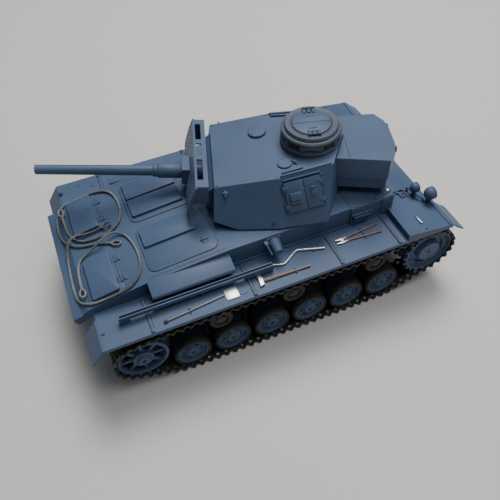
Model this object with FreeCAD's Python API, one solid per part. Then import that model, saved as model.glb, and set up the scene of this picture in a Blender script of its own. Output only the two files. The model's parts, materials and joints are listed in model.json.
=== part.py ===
"""Remote control model of a medium tank, about 1:16, as an assembly of separate solids.

Frame: millimetres, +X to the hull's front, +Z up, origin on the ground under the middle of the
overall box. The turret stands turned with its gun over the rear left corner of the engine deck.
"""
import FreeCAD, Part
import math
import os

V = FreeCAD.Vector
X_AXIS = V(1, 0, 0)
Y_AXIS = V(0, 1, 0)
Z_AXIS = V(0, 0, 1)

# ---- driving dimensions: hull ----
FRONT_X = 162.0
REAR_X = -162.0
HALF_WIDTH = 92.5
WALL = 2.2
TUB_HALF = 57.0
TUB_BOTTOM = 22.0
FENDER_TOP = 72.8
FENDER_THICK = 1.6
FENDER_REAR_X = -147.0
FENDER_STEP_X = 104.8
FENDER_STEP_Z = 79.0
FENDER_FRONT_X = 149.0
BODY_HALF = 57.8
BODY_REAR_X = -37.0
BODY_FRONT_X = 109.0
BODY_TOP = 93.0
DECK_BREAK_X = -103.0
DECK_BREAK_Z = 87.4
DECK_REAR_X = -150.0
DECK_REAR_Z = 78.8
TAIL_X = -155.0
TAIL_Z = 74.4

# ---- driving dimensions: running gear ----
TRACK_WIDTH = 25.0
TRACK_Y = 79.0
NOMINAL_PITCH = 7.5
LINK_BELOW = 1.5
LINK_ABOVE = 1.1
LINK_SHORTER = 0.9
WINDOW_OFFSET = 8.5
WINDOW_X = 3.6
WINDOW_Y = 4.4
HORN = (3.6, 2.0, 4.6)
GAP = 0.3
BELT_GAP = 0.5
WHEEL_R = 15.8
WHEEL_FRONT_X = 91.4
WHEEL_PITCH = 35.14
WHEEL_COUNT = 6
WHEEL_Z = LINK_BELOW + LINK_ABOVE + BELT_GAP + WHEEL_R
TYRE_WIDTH = 7.0
TYRE_GAP = 5.0
ARM_REACH = 15.0
ARM_RISE = 5.5
ARM_THICK = 4.0
ARM_INNER_Y = 59.0
SPROCKET = (134.3, 41.3)
SPROCKET_TEETH = 20
IDLER = (-123.2, 37.1)
IDLER_R = 20.6
ROLLER_X = (80.7, 5.1, -57.6)
ROLLER_Z = 51.0
ROLLER_R = 9.7
SHAFT_R = 3.0
PIN_R = 2.0
RUNNING = 0.06

# ---- driving dimensions: turret ----
RING_X = 27.3
TURRET_YAW = 17.2
TURRET_FLOOR = 94.5
RING_R = 43.8
RING_INNER_R = 38.0
CUPOLA_T = -28.6
CUPOLA_R = 24.3
CUPOLA_TOP = 149.2
HATCH_R = 15.3
LID_THICK = 1.6
TRUNNION = (46.0, 107.3)
GUN_ELEVATION = 7.3
MANTLET_R = 13.6
MANTLET_HALF = 33.0
PLATE_HALF = 42.5
MUZZLE_T = 146.5
BARREL_R = 4.3
MUZZLE_R = 3.9
SLEEVE_R = 6.1
BIN_TOP = 131.5

CABLE_R = 1.0


# ---------------------------------------------------------------- helpers
def box(x0, x1, y0, y1, z0, z1):
    """Box between two corners, given in any order."""
    low = V(min(x0, x1), min(y0, y1), min(z0, z1))
    return Part.makeBox(abs(x1 - x0), abs(y1 - y0), abs(z1 - z0), low)


def rod(start, end, radius):
    """Round rod between two points."""
    path = end - start
    return Part.makeCylinder(radius, path.Length, start, path)


def disc_y(x, z, y0, y1, radius):
    """Cylinder across the hull, between two y values."""
    return rod(V(x, y0, z), V(x, y1, z), radius)


def prism_y(points, y0, y1):
    """Closed (x, z) outline carried across the hull from y0 to y1."""
    wire = Part.makePolygon([V(x, y0, z) for x, z in points + points[:1]])
    return Part.Face(wire).extrude(V(0, y1 - y0, 0))


def prism_z(points, z0, z1):
    """Closed (x, y) outline carried upwards from z0 to z1."""
    wire = Part.makePolygon([V(x, y, z0) for x, y in points + points[:1]])
    return Part.Face(wire).extrude(V(0, 0, z1 - z0))


def slab_points(point_a, point_b, thickness):
    """Four corners of a thin strip below the line from a to b, as (x, z)."""
    return [point_a, point_b, (point_b[0], point_b[1] - thickness), (point_a[0], point_a[1] - thickness)]


def fuse(shapes):
    """One solid out of several that touch."""
    return shapes[0].multiFuse(shapes[1:]).removeSplitter()


def group(shapes):
    """Several separate solids in one node."""
    solids = []
    for shape in shapes:
        solids.extend(shape.Solids)
    return Part.makeCompound(solids)


def half_space(point_a, point_b, point_c, inside, inset=0.0, size=400.0):
    """Big block on the inner side of the plane through three points, moved inwards by inset."""
    normal = (point_b - point_a).cross(point_c - point_a).normalize()
    if (inside - point_a).dot(normal) < 0:
        normal = normal * -1
    block = Part.makeBox(size, size, size, V(-size / 2, -size / 2, 0))
    turn = FreeCAD.Rotation(Z_AXIS, normal)
    block.Placement = FreeCAD.Placement(point_a + normal * inset, turn)
    return block


def convex_body(planes, inside, inset=0.0):
    """Convex solid bounded by planes; each plane is three points and whether it takes the inset."""
    body = Part.makeBox(360, 360, 200, V(-180, -180, 20))
    for a, b, c, moves in planes:
        body = body.common(half_space(V(*a), V(*b), V(*c), inside, inset if moves else 0.0))
    return body


def mirrored(shape):
    """The same shape on the other side of the hull."""
    return shape.mirror(V(0, 0, 0), Y_AXIS)


def side_name(side):
    """Right is the -Y side."""
    return "right" if side < 0 else "left"


def on_side(shape, side):
    """A shape modelled on the -Y side, put on the side asked for."""
    return shape if side < 0 else mirrored(shape)


def export(name, shape):
    """Write one node and print its size."""
    shape.exportStep("parts/%s.step" % name)
    bounds = shape.BoundBox
    print("%-26s solids %3d  volume %9.1f  z %.2f to %.2f  valid %s" % (
        name, len(shape.Solids), shape.Volume, bounds.ZMin, bounds.ZMax, shape.isValid()))


# ---------------------------------------------------------------- hull
def deck_height(x):
    """Height of the engine deck's surface at x."""
    if x > DECK_BREAK_X:
        slope = (BODY_TOP - DECK_BREAK_Z) / (BODY_REAR_X - DECK_BREAK_X)
        return BODY_TOP + slope * (x - BODY_REAR_X)
    if x > DECK_REAR_X:
        slope = (DECK_BREAK_Z - DECK_REAR_Z) / (DECK_BREAK_X - DECK_REAR_X)
        return DECK_BREAK_Z + slope * (x - DECK_BREAK_X)
    if x > TAIL_X:
        slope = (DECK_REAR_Z - TAIL_Z) / (DECK_REAR_X - TAIL_X)
        return DECK_REAR_Z + slope * (x - DECK_REAR_X)
    slope = (TAIL_Z - FENDER_TOP) / (TAIL_X - REAR_X)
    return TAIL_Z + slope * (x - TAIL_X)


def deck_point(x, y, lift=0.0):
    """Point on the engine deck, raised by lift."""
    return V(x, y, deck_height(x) + lift)


TUB_TOP = FENDER_TOP - FENDER_THICK
TUB_OUTLINE = [(-146, TUB_TOP), (-149, 44), (-130, TUB_BOTTOM), (112, TUB_BOTTOM), (138, 29),
               (150, 44), (149, 60), (144, 68), (140, TUB_TOP)]
BODY_OUTLINE = [(REAR_X, 70.4), (REAR_X, FENDER_TOP), (TAIL_X, TAIL_Z), (DECK_REAR_X, DECK_REAR_Z),
                (DECK_BREAK_X, DECK_BREAK_Z), (BODY_REAR_X, BODY_TOP), (BODY_FRONT_X, BODY_TOP),
                (BODY_FRONT_X, FENDER_STEP_Z - 0.3), (147, TUB_TOP + 0.6), (147, TUB_TOP), (-146, TUB_TOP),
                (-158, 66), (-160, 66)]


def arm_pivot(index):
    """Pivot of one swing arm, as (x, z)."""
    return (WHEEL_FRONT_X - index * WHEEL_PITCH + ARM_REACH, WHEEL_Z + ARM_RISE)


def make_lower_hull():
    """Tub: closed floor, sides, nose and tail, bored for every shaft of the running gear."""
    outer = prism_y(TUB_OUTLINE, -TUB_HALF, TUB_HALF)
    inner_points = [(-143.6, TUB_TOP + 1), (-146.4, 45), (-129, TUB_BOTTOM + WALL), (111.6, TUB_BOTTOM + WALL),
                    (137, 31.4), (147.6, 44.8), (146.7, 59.6), (142, 67), (137.6, TUB_TOP + 1)]
    inner = prism_y(inner_points, -TUB_HALF + WALL, TUB_HALF - WALL)
    tub = outer.cut(inner)
    for side in (-1, 1):
        wall = side * (TUB_HALF - WALL)
        outside = side * TUB_HALF
        tub = tub.fuse(disc_y(SPROCKET[0] - 1.5, SPROCKET[1], outside, side * 64.0, 11.0))
        tub = tub.fuse(disc_y(IDLER[0], IDLER[1], outside, side * 64.0, 7.0))
        for x in ROLLER_X:
            tub = tub.fuse(disc_y(x, ROLLER_Z, outside, side * 66.0, 5.0))
        far = side * 70.0
        near = wall - side * 3.0
        tub = tub.cut(disc_y(SPROCKET[0], SPROCKET[1], near, far, SHAFT_R + RUNNING))
        tub = tub.cut(disc_y(IDLER[0], IDLER[1], near, far, SHAFT_R + RUNNING))
        for x in ROLLER_X:
            tub = tub.cut(disc_y(x, ROLLER_Z, near, far, PIN_R + RUNNING))
        for index in range(WHEEL_COUNT):
            x, z = arm_pivot(index)
            tub = tub.cut(disc_y(x, z, near, far, SHAFT_R + RUNNING))
    return tub


def make_fender():
    """Right fender: flat rear length, step, and the sloped front length with its skirt."""
    inner_y = -BODY_HALF + 1.0
    flat = box(FENDER_REAR_X, FENDER_STEP_X + 1, inner_y, -HALF_WIDTH, TUB_TOP, FENDER_TOP)
    lip = box(FENDER_REAR_X, FENDER_FRONT_X, -HALF_WIDTH, -HALF_WIDTH + 1.2, TUB_TOP - 1.8, TUB_TOP + 0.5)
    slope_start = (FENDER_STEP_X, FENDER_STEP_Z)
    slope_end = (FENDER_FRONT_X, FENDER_TOP)
    slope = prism_y(slab_points(slope_start, slope_end, FENDER_THICK), inner_y, -HALF_WIDTH)
    riser = box(FENDER_STEP_X, FENDER_STEP_X + FENDER_THICK, inner_y, -HALF_WIDTH, TUB_TOP, FENDER_STEP_Z - 0.3)
    skirt_points = [(FENDER_STEP_X, TUB_TOP), (FENDER_STEP_X, FENDER_STEP_Z - 0.3),
                    (FENDER_FRONT_X, FENDER_TOP - 0.5), (FENDER_FRONT_X, TUB_TOP)]
    skirt = prism_y(skirt_points, -HALF_WIDTH, -HALF_WIDTH + 1.2)
    ribs = []
    for x in (-110.0, -29.0, 45.5, 98.0):
        ribs.append(box(x - 0.7, x + 0.7, -BODY_HALF, -HALF_WIDTH + 0.8, FENDER_TOP - 0.2, FENDER_TOP + 0.9))
    return fuse([flat, lip, slope, riser, skirt] + ribs)


def make_upper_hull():
    """Superstructure, glacis, engine deck and both fenders as one moulded shell, open below."""
    outer = prism_y(BODY_OUTLINE, -BODY_HALF, BODY_HALF)
    inner_points = [(-143, TUB_TOP - 1), (-143, 77.6), (DECK_BREAK_X, DECK_BREAK_Z - WALL),
                    (BODY_REAR_X, BODY_TOP - WALL), (BODY_FRONT_X - WALL, BODY_TOP - WALL),
                    (BODY_FRONT_X - WALL, FENDER_STEP_Z - WALL - 0.3), (138, TUB_TOP + 0.3),
                    (138, TUB_TOP - 1)]
    inner = prism_y(inner_points, -BODY_HALF + WALL, BODY_HALF - WALL)
    shell = outer.cut(inner)
    fender = make_fender()
    shell = fuse([shell, fender, mirrored(fender)])
    ring_hole = Part.makeCylinder(RING_R + GAP, 12, V(RING_X, 0, BODY_TOP - 8))
    shell = shell.cut(ring_hole)
    flange = []
    for side in (-1, 1):
        y = side * BODY_HALF
        flange.append(box(BODY_REAR_X, BODY_FRONT_X - 10, y - side * 0.5, y + side * 1.0, FENDER_TOP - 0.2, FENDER_TOP + 2.2))
        flange.append(box(69.3, BODY_FRONT_X, y - side * 0.5, y + side * 0.6, FENDER_TOP - 0.2, BODY_TOP - 0.6))
    return fuse([shell] + flange)


def deck_slab(x0, x1, y0, y1, low, high):
    """Plate that follows the engine deck's slope, between two heights above it."""
    points = [(x0, deck_height(x0) + low), (x1, deck_height(x1) + low),
              (x1, deck_height(x1) + high), (x0, deck_height(x0) + high)]
    return prism_y(points, y0, y1)


def cowl(x0, x1, y0, y1, height):
    """Raised air cowl with sloping sides on the engine deck."""
    block = deck_slab(x0, x1, y0, y1, 0.7, height)
    edges = [edge for edge in block.Edges if edge.CenterOfMass.z > deck_height(edge.CenterOfMass.x) + height - 0.2]
    return block.makeChamfer(1.2, edges)


def make_deck_covers():
    """Four engine hatches with their air cowls, and the two side intake boxes."""
    covers = []
    for side in (-1, 1):
        front_lid = deck_slab(-98.0, -42.0, side * 4.0, side * 51.0, 0.0, 0.7)
        rear_lid = deck_slab(-147.0, -118.5, side * 13.0, side * 54.6, 0.0, 0.7)
        y0, y1 = sorted((side * 14.6, side * 54.2))
        rear_cowl = cowl(-144.0, -123.0, y0, y1, 4.2)
        covers.append(fuse([rear_lid, rear_cowl]))
        if side > 0:
            front_cowls = [cowl(-95.6, -52.0, 9.0, 28.5, 3.2), cowl(-95.6, -52.0, 30.0, 49.5, 3.2)]
        else:
            front_cowls = [cowl(-95.6, -52.0, -26.5, -8.0, 3.2)]
        covers.append(fuse([front_lid] + front_cowls))
        covers.append(make_intake_box(side))
    return group(covers)


def make_intake_box(side):
    """Long air-intake box on the side of the engine deck, leaning slightly outwards at the top."""
    inner_y = side * BODY_HALF
    section = [(inner_y, 78.5), (inner_y, 88.8), (side * 70.5, 84.8), (side * 71.5, 83.0), (side * 69.0, 78.5)]
    x0 = -103.0
    wire = Part.makePolygon([V(x0, y, z) for y, z in section + section[:1]])
    return Part.Face(wire).extrude(V(66.0, 0, 0))


def make_mud_flaps():
    """Two front and two rear flaps hung on the fender ends."""
    flaps = []
    thick = 1.3
    for side in (-1, 1):
        y0, y1 = side * 63.9, side * HALF_WIDTH
        front = [(FENDER_FRONT_X, FENDER_TOP), (154.0, 68.3), (FRONT_X, 62.0), (FRONT_X - 0.6, 60.9),
                 (153.2, 67.0), (FENDER_FRONT_X, FENDER_TOP - thick)]
        rear = [(FENDER_REAR_X, FENDER_TOP), (FENDER_REAR_X - 1.4, FENDER_TOP), (-159.0, 58.2),
                (-158.0, 57.4), (FENDER_REAR_X, FENDER_TOP - 1.5)]
        flaps.append(prism_y(front, y0, y1))
        flaps.append(prism_y(rear, y0, y1))
    return group(flaps)


def make_headlights():
    """Two lamps on stalks at the front right, one at the front left, and a bent guard rod."""
    lamps = []
    for x, y, radius in ((144.0, -61.5, 5.6), (136.5, -50.0, 4.4), (138.0, 50.0, 5.6)):
        foot_z = FENDER_TOP + (FENDER_FRONT_X - x) * 0.14 + 0.4
        bowl_z = foot_z + radius + 3.4
        stalk = rod(V(x, y, foot_z), V(x, y, bowl_z), 1.3)
        lens = rod(V(x + radius * 0.45, y, bowl_z), V(x + radius * 0.45 + 1.0, y, bowl_z), radius * 0.84)
        lamps.append(fuse([stalk, lamp_bowl(V(x, y, bowl_z), radius)]))
        lamps.append(lens)
    return group(lamps)


def lamp_bowl(centre, radius):
    """Domed lamp body turned about its front-to-back axis, flat at the front."""
    dome = [(-1.0, 0.0), (-0.93, 0.37), (-0.73, 0.68), (-0.4, 0.92), (0.0, 1.0), (0.45, 0.9), (0.45, 0.0)]
    points = [centre + V(along, 0, out) * radius for along, out in dome]
    face = Part.Face(Part.makePolygon(points + points[:1]))
    return face.revolve(centre, X_AXIS, 360)


def fender_strip(x0, x1, y0, y1, low, high):
    """Block standing above the flat right fender."""
    return box(x0, x1, y0, y1, FENDER_TOP + low, FENDER_TOP + high)


def make_fender_fittings():
    """Aerial trough on brackets, jack block, aerial pot, side visors and front fender latches."""
    trough = fender_strip(-131.0, -8.0, -72.6, -76.4, 4.6, 8.0)
    trough = trough.cut(fender_strip(-130.0, -7.0, -73.6, -75.4, 5.8, 9.0))
    brackets = [fender_strip(x - 1.0, x + 1.0, -73.4, -75.6, 0, 4.8) for x in (-124.0, -66.0, -14.0)]
    pieces = [fuse([trough] + brackets)]
    wall = -BODY_HALF - 1.0
    pot = Part.makeCone(5.0, 3.4, 11.0, V(0, wall, 87.0), V(0, -1, -0.18))
    plate = box(-6.0, 6.0, -BODY_HALF, wall, 79.0, 91.5)
    pieces.append(fuse([pot, plate]))
    for side in (-1, 1):
        y = side * (BODY_HALF + 0.6)
        visor = box(71.5, 86.5, y, y + side * 2.6, 77.5, 84.0)
        rail = box(69.8, 88.2, y, y + side * 2.0, 85.2, 86.2)
        pieces.append(visor.makeChamfer(0.6, visor.Edges))
        pieces.append(rail)
    return group(pieces)


def make_fender_tools():
    """Spade, axe, starting crank and wire cutters laid on the right fender."""
    z = FENDER_TOP + 1.0
    spade_grip = rod(V(-99, -87.0, z), V(-51.2, -82.0, z), 0.9)
    spade_blade = box(-51, -40.5, -77.2, -87.6, FENDER_TOP, FENDER_TOP + 0.9)
    axe_head = box(-23.2, -19.0, -75.8, -86.4, FENDER_TOP, FENDER_TOP + 2.4)
    axe_grip = rod(V(-18.8, -82.0, z + 0.3), V(20.5, -83.2, z + 0.3), 1.1)
    crank_points = [V(-6.0, -71.0, z + 0.2), V(2.5, -74.0, z + 0.2), V(17.0, -64.8, z + 0.2), V(39.0, -72.0, z + 0.2)]
    crank = fuse([rod(a, b, 1.0) for a, b in zip(crank_points, crank_points[1:])]
                 + [Part.makeSphere(1.0, point) for point in crank_points[1:-1]])
    cutters = []
    for jaw_y, grip_y in ((-69.0, -66.0), (-72.4, -74.8)):
        cutters.append(rod(V(60.2, jaw_y, z), V(90.0, grip_y, z), 0.9))
        cutters.append(box(50.0, 60.0, jaw_y - 1.1, jaw_y + 1.1, FENDER_TOP, FENDER_TOP + 1.4))
    return group([spade_grip, spade_blade, axe_head, axe_grip, crank] + cutters)


# ---------------------------------------------------------------- inside the hull
def make_drive_units():
    """A gearbox and an electric motor for each side, standing on the tub's floor."""
    units = []
    floor = TUB_BOTTOM + WALL
    for side in (-1, 1):
        inner, outer = side * 12.0, side * (TUB_HALF - WALL)
        case = box(98.0, 137.0, inner + side * 24.0, outer, floor + 8.5, 60.0)
        foot = box(100.0, 111.0, inner + side * 24.0, outer, floor, floor + 8.6)
        motor = rod(V(104.0, inner + side * 24.0, 50.0), V(104.0, inner, 50.0), 9.0)
        nose = rod(V(104.0, inner, 50.0), V(104.0, inner - side * 3.0, 50.0), 3.0)
        socket = disc_y(SPROCKET[0], SPROCKET[1], side * 44.0, side * 60.0, SHAFT_R + RUNNING)
        arm_x, arm_z = arm_pivot(0)
        relief = disc_y(arm_x, arm_z, side * 44.0, side * 60.0, SHAFT_R + 1.5)
        units.append(fuse([case, foot]).cut(socket).cut(relief))
        units.append(fuse([motor, nose]))
    return group(units)


def make_electronics():
    """Battery pack, radio board on posts with its parts, and a speaker."""
    floor = TUB_BOTTOM + WALL
    battery = box(-40.0, 30.0, -18.0, 18.0, floor, floor + 20.0)
    battery = battery.makeFillet(3.0, [e for e in battery.Edges if abs(e.tangentAt(e.FirstParameter).x) > 0.9])
    posts = [rod(V(x, y, floor), V(x, y, floor + 8.0), 2.5) for x in (-108.0, -60.0) for y in (-28.0, 28.0)]
    board = box(-114.0, -54.0, -34.0, 34.0, floor + 8.0, floor + 9.6)
    chips = [box(-100.0, -84.0, -20.0, -4.0, floor + 9.6, floor + 12.0),
             box(-78.0, -66.0, 4.0, 24.0, floor + 9.6, floor + 15.0)]
    speaker = Part.makeCone(19.0, 9.0, 9.0, V(60.0, 0, floor))
    return group([battery, board, speaker] + posts + chips)


# ---------------------------------------------------------------- running gear
def wheel_profile_ring(x, z, outer_r, inner_r, y0, y1):
    """Flat ring across the hull."""
    return disc_y(x, z, y0, y1, outer_r).cut(disc_y(x, z, y0, y1, inner_r))


OUT_Y = -TRACK_Y - TYRE_GAP / 2 - TYRE_WIDTH
IN_Y = -TRACK_Y + TYRE_GAP / 2 + TYRE_WIDTH


def twin_bands(x, z, outer_r, inner_r):
    """The two rings of a twin wheel, either side of the guide horns."""
    outer_band = wheel_profile_ring(x, z, outer_r, inner_r, OUT_Y, OUT_Y + TYRE_WIDTH)
    inner_band = wheel_profile_ring(x, z, outer_r, inner_r, IN_Y - TYRE_WIDTH, IN_Y)
    return outer_band, inner_band


def make_road_wheel(index):
    """Twin dished wheel with two rubber tyres, lightening slots and a hub cap."""
    x, z = WHEEL_FRONT_X - index * WHEEL_PITCH, WHEEL_Z
    rim_r = 12.6
    tyres = twin_bands(x, z, WHEEL_R, rim_r)
    rims = twin_bands(x, z, rim_r, 10.6)
    outer_web = disc_y(x, z, OUT_Y + 2.6, OUT_Y + 4.2, 10.8)
    inner_web = disc_y(x, z, IN_Y - 4.2, IN_Y - 2.6, 10.8)
    hub = disc_y(x, z, OUT_Y + 0.6, IN_Y - 1.0, 4.6)
    body = fuse([rims[0], rims[1], outer_web, inner_web, hub])
    for step in range(5):
        angle = math.radians(72 * step + 18)
        cx, cz = x + 7.7 * math.cos(angle), z + 7.7 * math.sin(angle)
        body = body.cut(disc_y(cx, cz, OUT_Y, IN_Y, 1.3))
    body = body.cut(disc_y(x, z, OUT_Y + 2.0, IN_Y + 1.0, PIN_R + RUNNING))
    return group([body, tyres[0], tyres[1]])


def make_swing_arm(index):
    """Trailing arm: shaft into the hull side, web, and the wheel's axle."""
    pivot_x, pivot_z = arm_pivot(index)
    axle_x, axle_z = pivot_x - ARM_REACH, pivot_z - ARM_RISE
    y0, y1 = -ARM_INNER_Y, -ARM_INNER_Y - ARM_THICK
    direction = V(axle_x - pivot_x, 0, axle_z - pivot_z).normalize()
    across = V(-direction.z, 0, direction.x) * 3.4
    corners = [V(pivot_x, y0, pivot_z) + across, V(axle_x, y0, axle_z) + across,
               V(axle_x, y0, axle_z) - across, V(pivot_x, y0, pivot_z) - across]
    web = Part.Face(Part.makePolygon(corners + corners[:1])).extrude(V(0, y1 - y0, 0))
    ends = [disc_y(pivot_x, pivot_z, y0, y1, 4.6), disc_y(axle_x, axle_z, y0, y1, 4.2)]
    shaft = disc_y(pivot_x, pivot_z, -TUB_HALF + WALL + 1.0, y0, SHAFT_R)
    axle = disc_y(axle_x, axle_z, y1, OUT_Y + 2.6, PIN_R)
    collar = disc_y(axle_x, axle_z, y1, IN_Y - 1.0 + GAP, 3.4)
    return fuse([web, shaft, axle, collar] + ends)


def make_return_roller(x):
    """Small twin roller on its own pin."""
    z = ROLLER_Z
    bands = twin_bands(x, z, ROLLER_R, 7.4)
    webs = [disc_y(x, z, OUT_Y + 2.0, OUT_Y + 4.0, 7.6), disc_y(x, z, IN_Y - 4.0, IN_Y - 2.0, 7.6)]
    hub = disc_y(x, z, OUT_Y + 0.8, IN_Y, 3.8)
    pin = disc_y(x, z, IN_Y, -TUB_HALF + WALL + 1.0, PIN_R)
    cores = [bands[0], bands[1]] + webs + [hub, pin]
    return fuse(cores)


def make_sprocket(tooth_angle, pitch_r):
    """Drive sprocket: two toothed rings, drum, outer cap and a shaft into the gearbox."""
    x, z = SPROCKET
    root_r = pitch_r * math.cos(math.pi / SPROCKET_TEETH) - LINK_ABOVE - 0.25
    tip_r = pitch_r + 1.2
    pieces = [disc_y(x, z, OUT_Y + 1.0, IN_Y - 1.0, 12.0)]
    for offset in (-WINDOW_OFFSET, WINDOW_OFFSET):
        y0, y1 = -TRACK_Y + offset - 1.5, -TRACK_Y + offset + 1.5
        pieces.append(disc_y(x, z, y0, y1, root_r))
        for step in range(SPROCKET_TEETH):
            angle = math.radians(tooth_angle) + 2 * math.pi * step / SPROCKET_TEETH
            pieces.append(sprocket_tooth(x, z, angle, root_r, tip_r, y0, y1))
    pieces.append(disc_y(x, z, OUT_Y + 1.2, -TRACK_Y - WINDOW_OFFSET, 16.0))
    pieces.append(disc_y(x, z, OUT_Y - 1.2, OUT_Y + 1.4, 10.0))
    pieces.append(disc_y(x, z, IN_Y - 2.0, -46.0, SHAFT_R))
    body = fuse(pieces)
    for step in range(8):
        angle = math.radians(45 * step + 22.5)
        body = body.cut(disc_y(x + 18.6 * math.cos(angle), z + 18.6 * math.sin(angle), OUT_Y - 2, IN_Y + 2, 1.6))
    return body


def sprocket_tooth(x, z, angle, root_r, tip_r, y0, y1):
    """One tapered tooth pointing outwards."""
    points = []
    for radius, half in ((root_r - 0.8, 1.35), (root_r - 0.8, -1.35), (tip_r, -0.6), (tip_r, 0.6)):
        px = x + radius * math.cos(angle) - half * math.sin(angle)
        pz = z + radius * math.sin(angle) + half * math.cos(angle)
        points.append((px, pz))
    return prism_y(points, y0, y1)


def make_idler():
    """Rear idler: two spoked rims, a long hub and its axle."""
    x, z = IDLER
    rims = twin_bands(x, z, IDLER_R, IDLER_R - 3.2)
    pieces = [rims[0], rims[1], disc_y(x, z, OUT_Y - 1.0, IN_Y - 1.0, 6.6), disc_y(x, z, OUT_Y - 2.4, OUT_Y, 4.6)]
    for step in range(8):
        angle = 2 * math.pi * step / 8
        for y0 in (OUT_Y + 2.0, IN_Y - 4.4):
            pieces.append(idler_spoke(x, z, angle, y0))
    pieces.append(disc_y(x, z, IN_Y - 2.0, -TUB_HALF + WALL + 1.0, SHAFT_R))
    return fuse(pieces)


def idler_spoke(x, z, angle, y0):
    """One flat spoke between hub and rim."""
    points = []
    for radius, half in ((5.0, 1.8), (5.0, -1.8), (IDLER_R - 2.4, -1.3), (IDLER_R - 2.4, 1.3)):
        px = x + radius * math.cos(angle) - half * math.sin(angle)
        pz = z + radius * math.sin(angle) + half * math.cos(angle)
        points.append((px, pz))
    return prism_y(points, y0, y0 + 2.4)


def tangent_pair(circle_a, circle_b):
    """Outer tangent points of two circles that the belt wraps anticlockwise in the x-z plane."""
    (ax, az, ar), (bx, bz, br) = circle_a, circle_b
    span = math.hypot(bx - ax, bz - az)
    along = math.atan2(bz - az, bx - ax)
    normal = along - math.acos((ar - br) / span)
    nx, nz = math.cos(normal), math.sin(normal)
    return (ax + ar * nx, az + ar * nz), (bx + br * nx, bz + br * nz)


def track_route(sprocket_r):
    """Closed pitch line of a track as a fine polyline, anticlockwise from the sprocket's top."""
    seat = LINK_ABOVE + BELT_GAP
    first = (WHEEL_FRONT_X, WHEEL_Z, WHEEL_R + seat)
    last = (WHEEL_FRONT_X - (WHEEL_COUNT - 1) * WHEEL_PITCH, WHEEL_Z, WHEEL_R + seat)
    wraps = [(IDLER[0], IDLER[1], IDLER_R + seat), last, first, (SPROCKET[0], SPROCKET[1], sprocket_r)]
    supports = [(x, ROLLER_Z + ROLLER_R + seat) for x in sorted(ROLLER_X, reverse=True)]
    pairs = [tangent_pair(a, b) for a, b in zip(wraps, wraps[1:])]
    points = []
    entry_angles = [math.pi / 2] + [angle_of(wraps[i + 1], pairs[i][1]) for i in range(3)]
    exit_angles = [angle_of(wraps[i], pairs[i][0]) for i in range(3)] + [math.pi / 2 + 2 * math.pi]
    for circle, enter, leave in zip(wraps, entry_angles, exit_angles):
        while leave < enter:
            leave += 2 * math.pi
        while leave - enter > 2 * math.pi:
            leave -= 2 * math.pi
        steps = max(2, int((leave - enter) / 0.05))
        points.extend(wrap_point(circle, enter + (leave - enter) * k / steps) for k in range(steps + 1))
    points.extend(supports)
    return points


def wrap_point(circle, angle):
    """Point of a circle (x, z, r) at an angle."""
    return (circle[0] + circle[2] * math.cos(angle), circle[1] + circle[2] * math.sin(angle))


def angle_of(circle, point):
    """Angle of a point seen from a circle's centre."""
    return math.atan2(point[1] - circle[1], point[0] - circle[0])


def route_length(points):
    """Length of a closed polyline."""
    return sum(math.dist(a, b) for a, b in zip(points, points[1:] + points[:1]))


def link_joints(points, count, offset):
    """Points spaced evenly along the closed route, count of them, starting at offset."""
    total = route_length(points)
    lengths = [math.dist(a, b) for a, b in zip(points, points[1:] + points[:1])]
    result = []
    for k in range(count):
        want = (offset + total * k / count) % total
        index = 0
        while want > lengths[index]:
            want -= lengths[index]
            index += 1
        a, b = points[index], points[(index + 1) % len(points)]
        share = want / lengths[index]
        result.append((a[0] + (b[0] - a[0]) * share, a[1] + (b[1] - a[1]) * share))
    return result


def make_link():
    """One track link about its own centre: plate with two tooth windows and a guide horn."""
    half_x, half_y = (LINK_PITCH - LINK_SHORTER) / 2, TRACK_WIDTH / 2
    link = box(-half_x, half_x, -half_y, half_y, -LINK_BELOW, LINK_ABOVE)
    for offset in (-WINDOW_OFFSET, WINDOW_OFFSET):
        link = link.cut(box(-WINDOW_X / 2, WINDOW_X / 2, offset - WINDOW_Y / 2, offset + WINDOW_Y / 2, -3, 3))
    horn = box(-HORN[0] / 2, HORN[0] / 2, -HORN[1] / 2, HORN[1] / 2, LINK_ABOVE - 0.2, LINK_ABOVE + HORN[2])
    return link.fuse(horn)


def make_track(side):
    """All links of one track along its closed route."""
    links = []
    template = make_link()
    for a, b in zip(LINK_JOINTS, LINK_JOINTS[1:] + LINK_JOINTS[:1]):
        link = template.copy()
        lean = math.atan2(b[1] - a[1], b[0] - a[0])
        turn = FreeCAD.Rotation(Y_AXIS, -math.degrees(lean))
        place = V((a[0] + b[0]) / 2, side * TRACK_Y, (a[1] + b[1]) / 2)
        link.Placement = FreeCAD.Placement(place, turn)
        links.append(link)
    return group(links)


# The sprocket carries one link per tooth, so its pitch radius follows from the link pitch.
SPROCKET_PITCH_R = NOMINAL_PITCH / (2 * math.sin(math.pi / SPROCKET_TEETH))
ROUTE = track_route(SPROCKET_PITCH_R)
LINK_COUNT = round(route_length(ROUTE) / NOMINAL_PITCH)
LINK_PITCH = route_length(ROUTE) / LINK_COUNT
LINK_JOINTS = link_joints(ROUTE, LINK_COUNT, 0.0)


def sprocket_phase():
    """Angle of a link's middle seen from the sprocket, so that teeth meet windows."""
    middles = [((a[0] + b[0]) / 2, (a[1] + b[1]) / 2) for a, b in zip(LINK_JOINTS, LINK_JOINTS[1:] + LINK_JOINTS[:1])]
    foremost = max(middles)
    return math.degrees(math.atan2(foremost[1] - SPROCKET[1], foremost[0] - SPROCKET[0]))


# ---------------------------------------------------------------- turret
def place_turret(shape):
    """Put a shape from the turret's own frame (+X to the gun, +Y to its left) on the hull."""
    placed = shape.copy()
    turn = FreeCAD.Placement(V(RING_X, 0, 0), FreeCAD.Rotation(Z_AXIS, 180.0 - TURRET_YAW))
    placed.Placement = turn.multiply(placed.Placement)
    return placed


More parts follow.
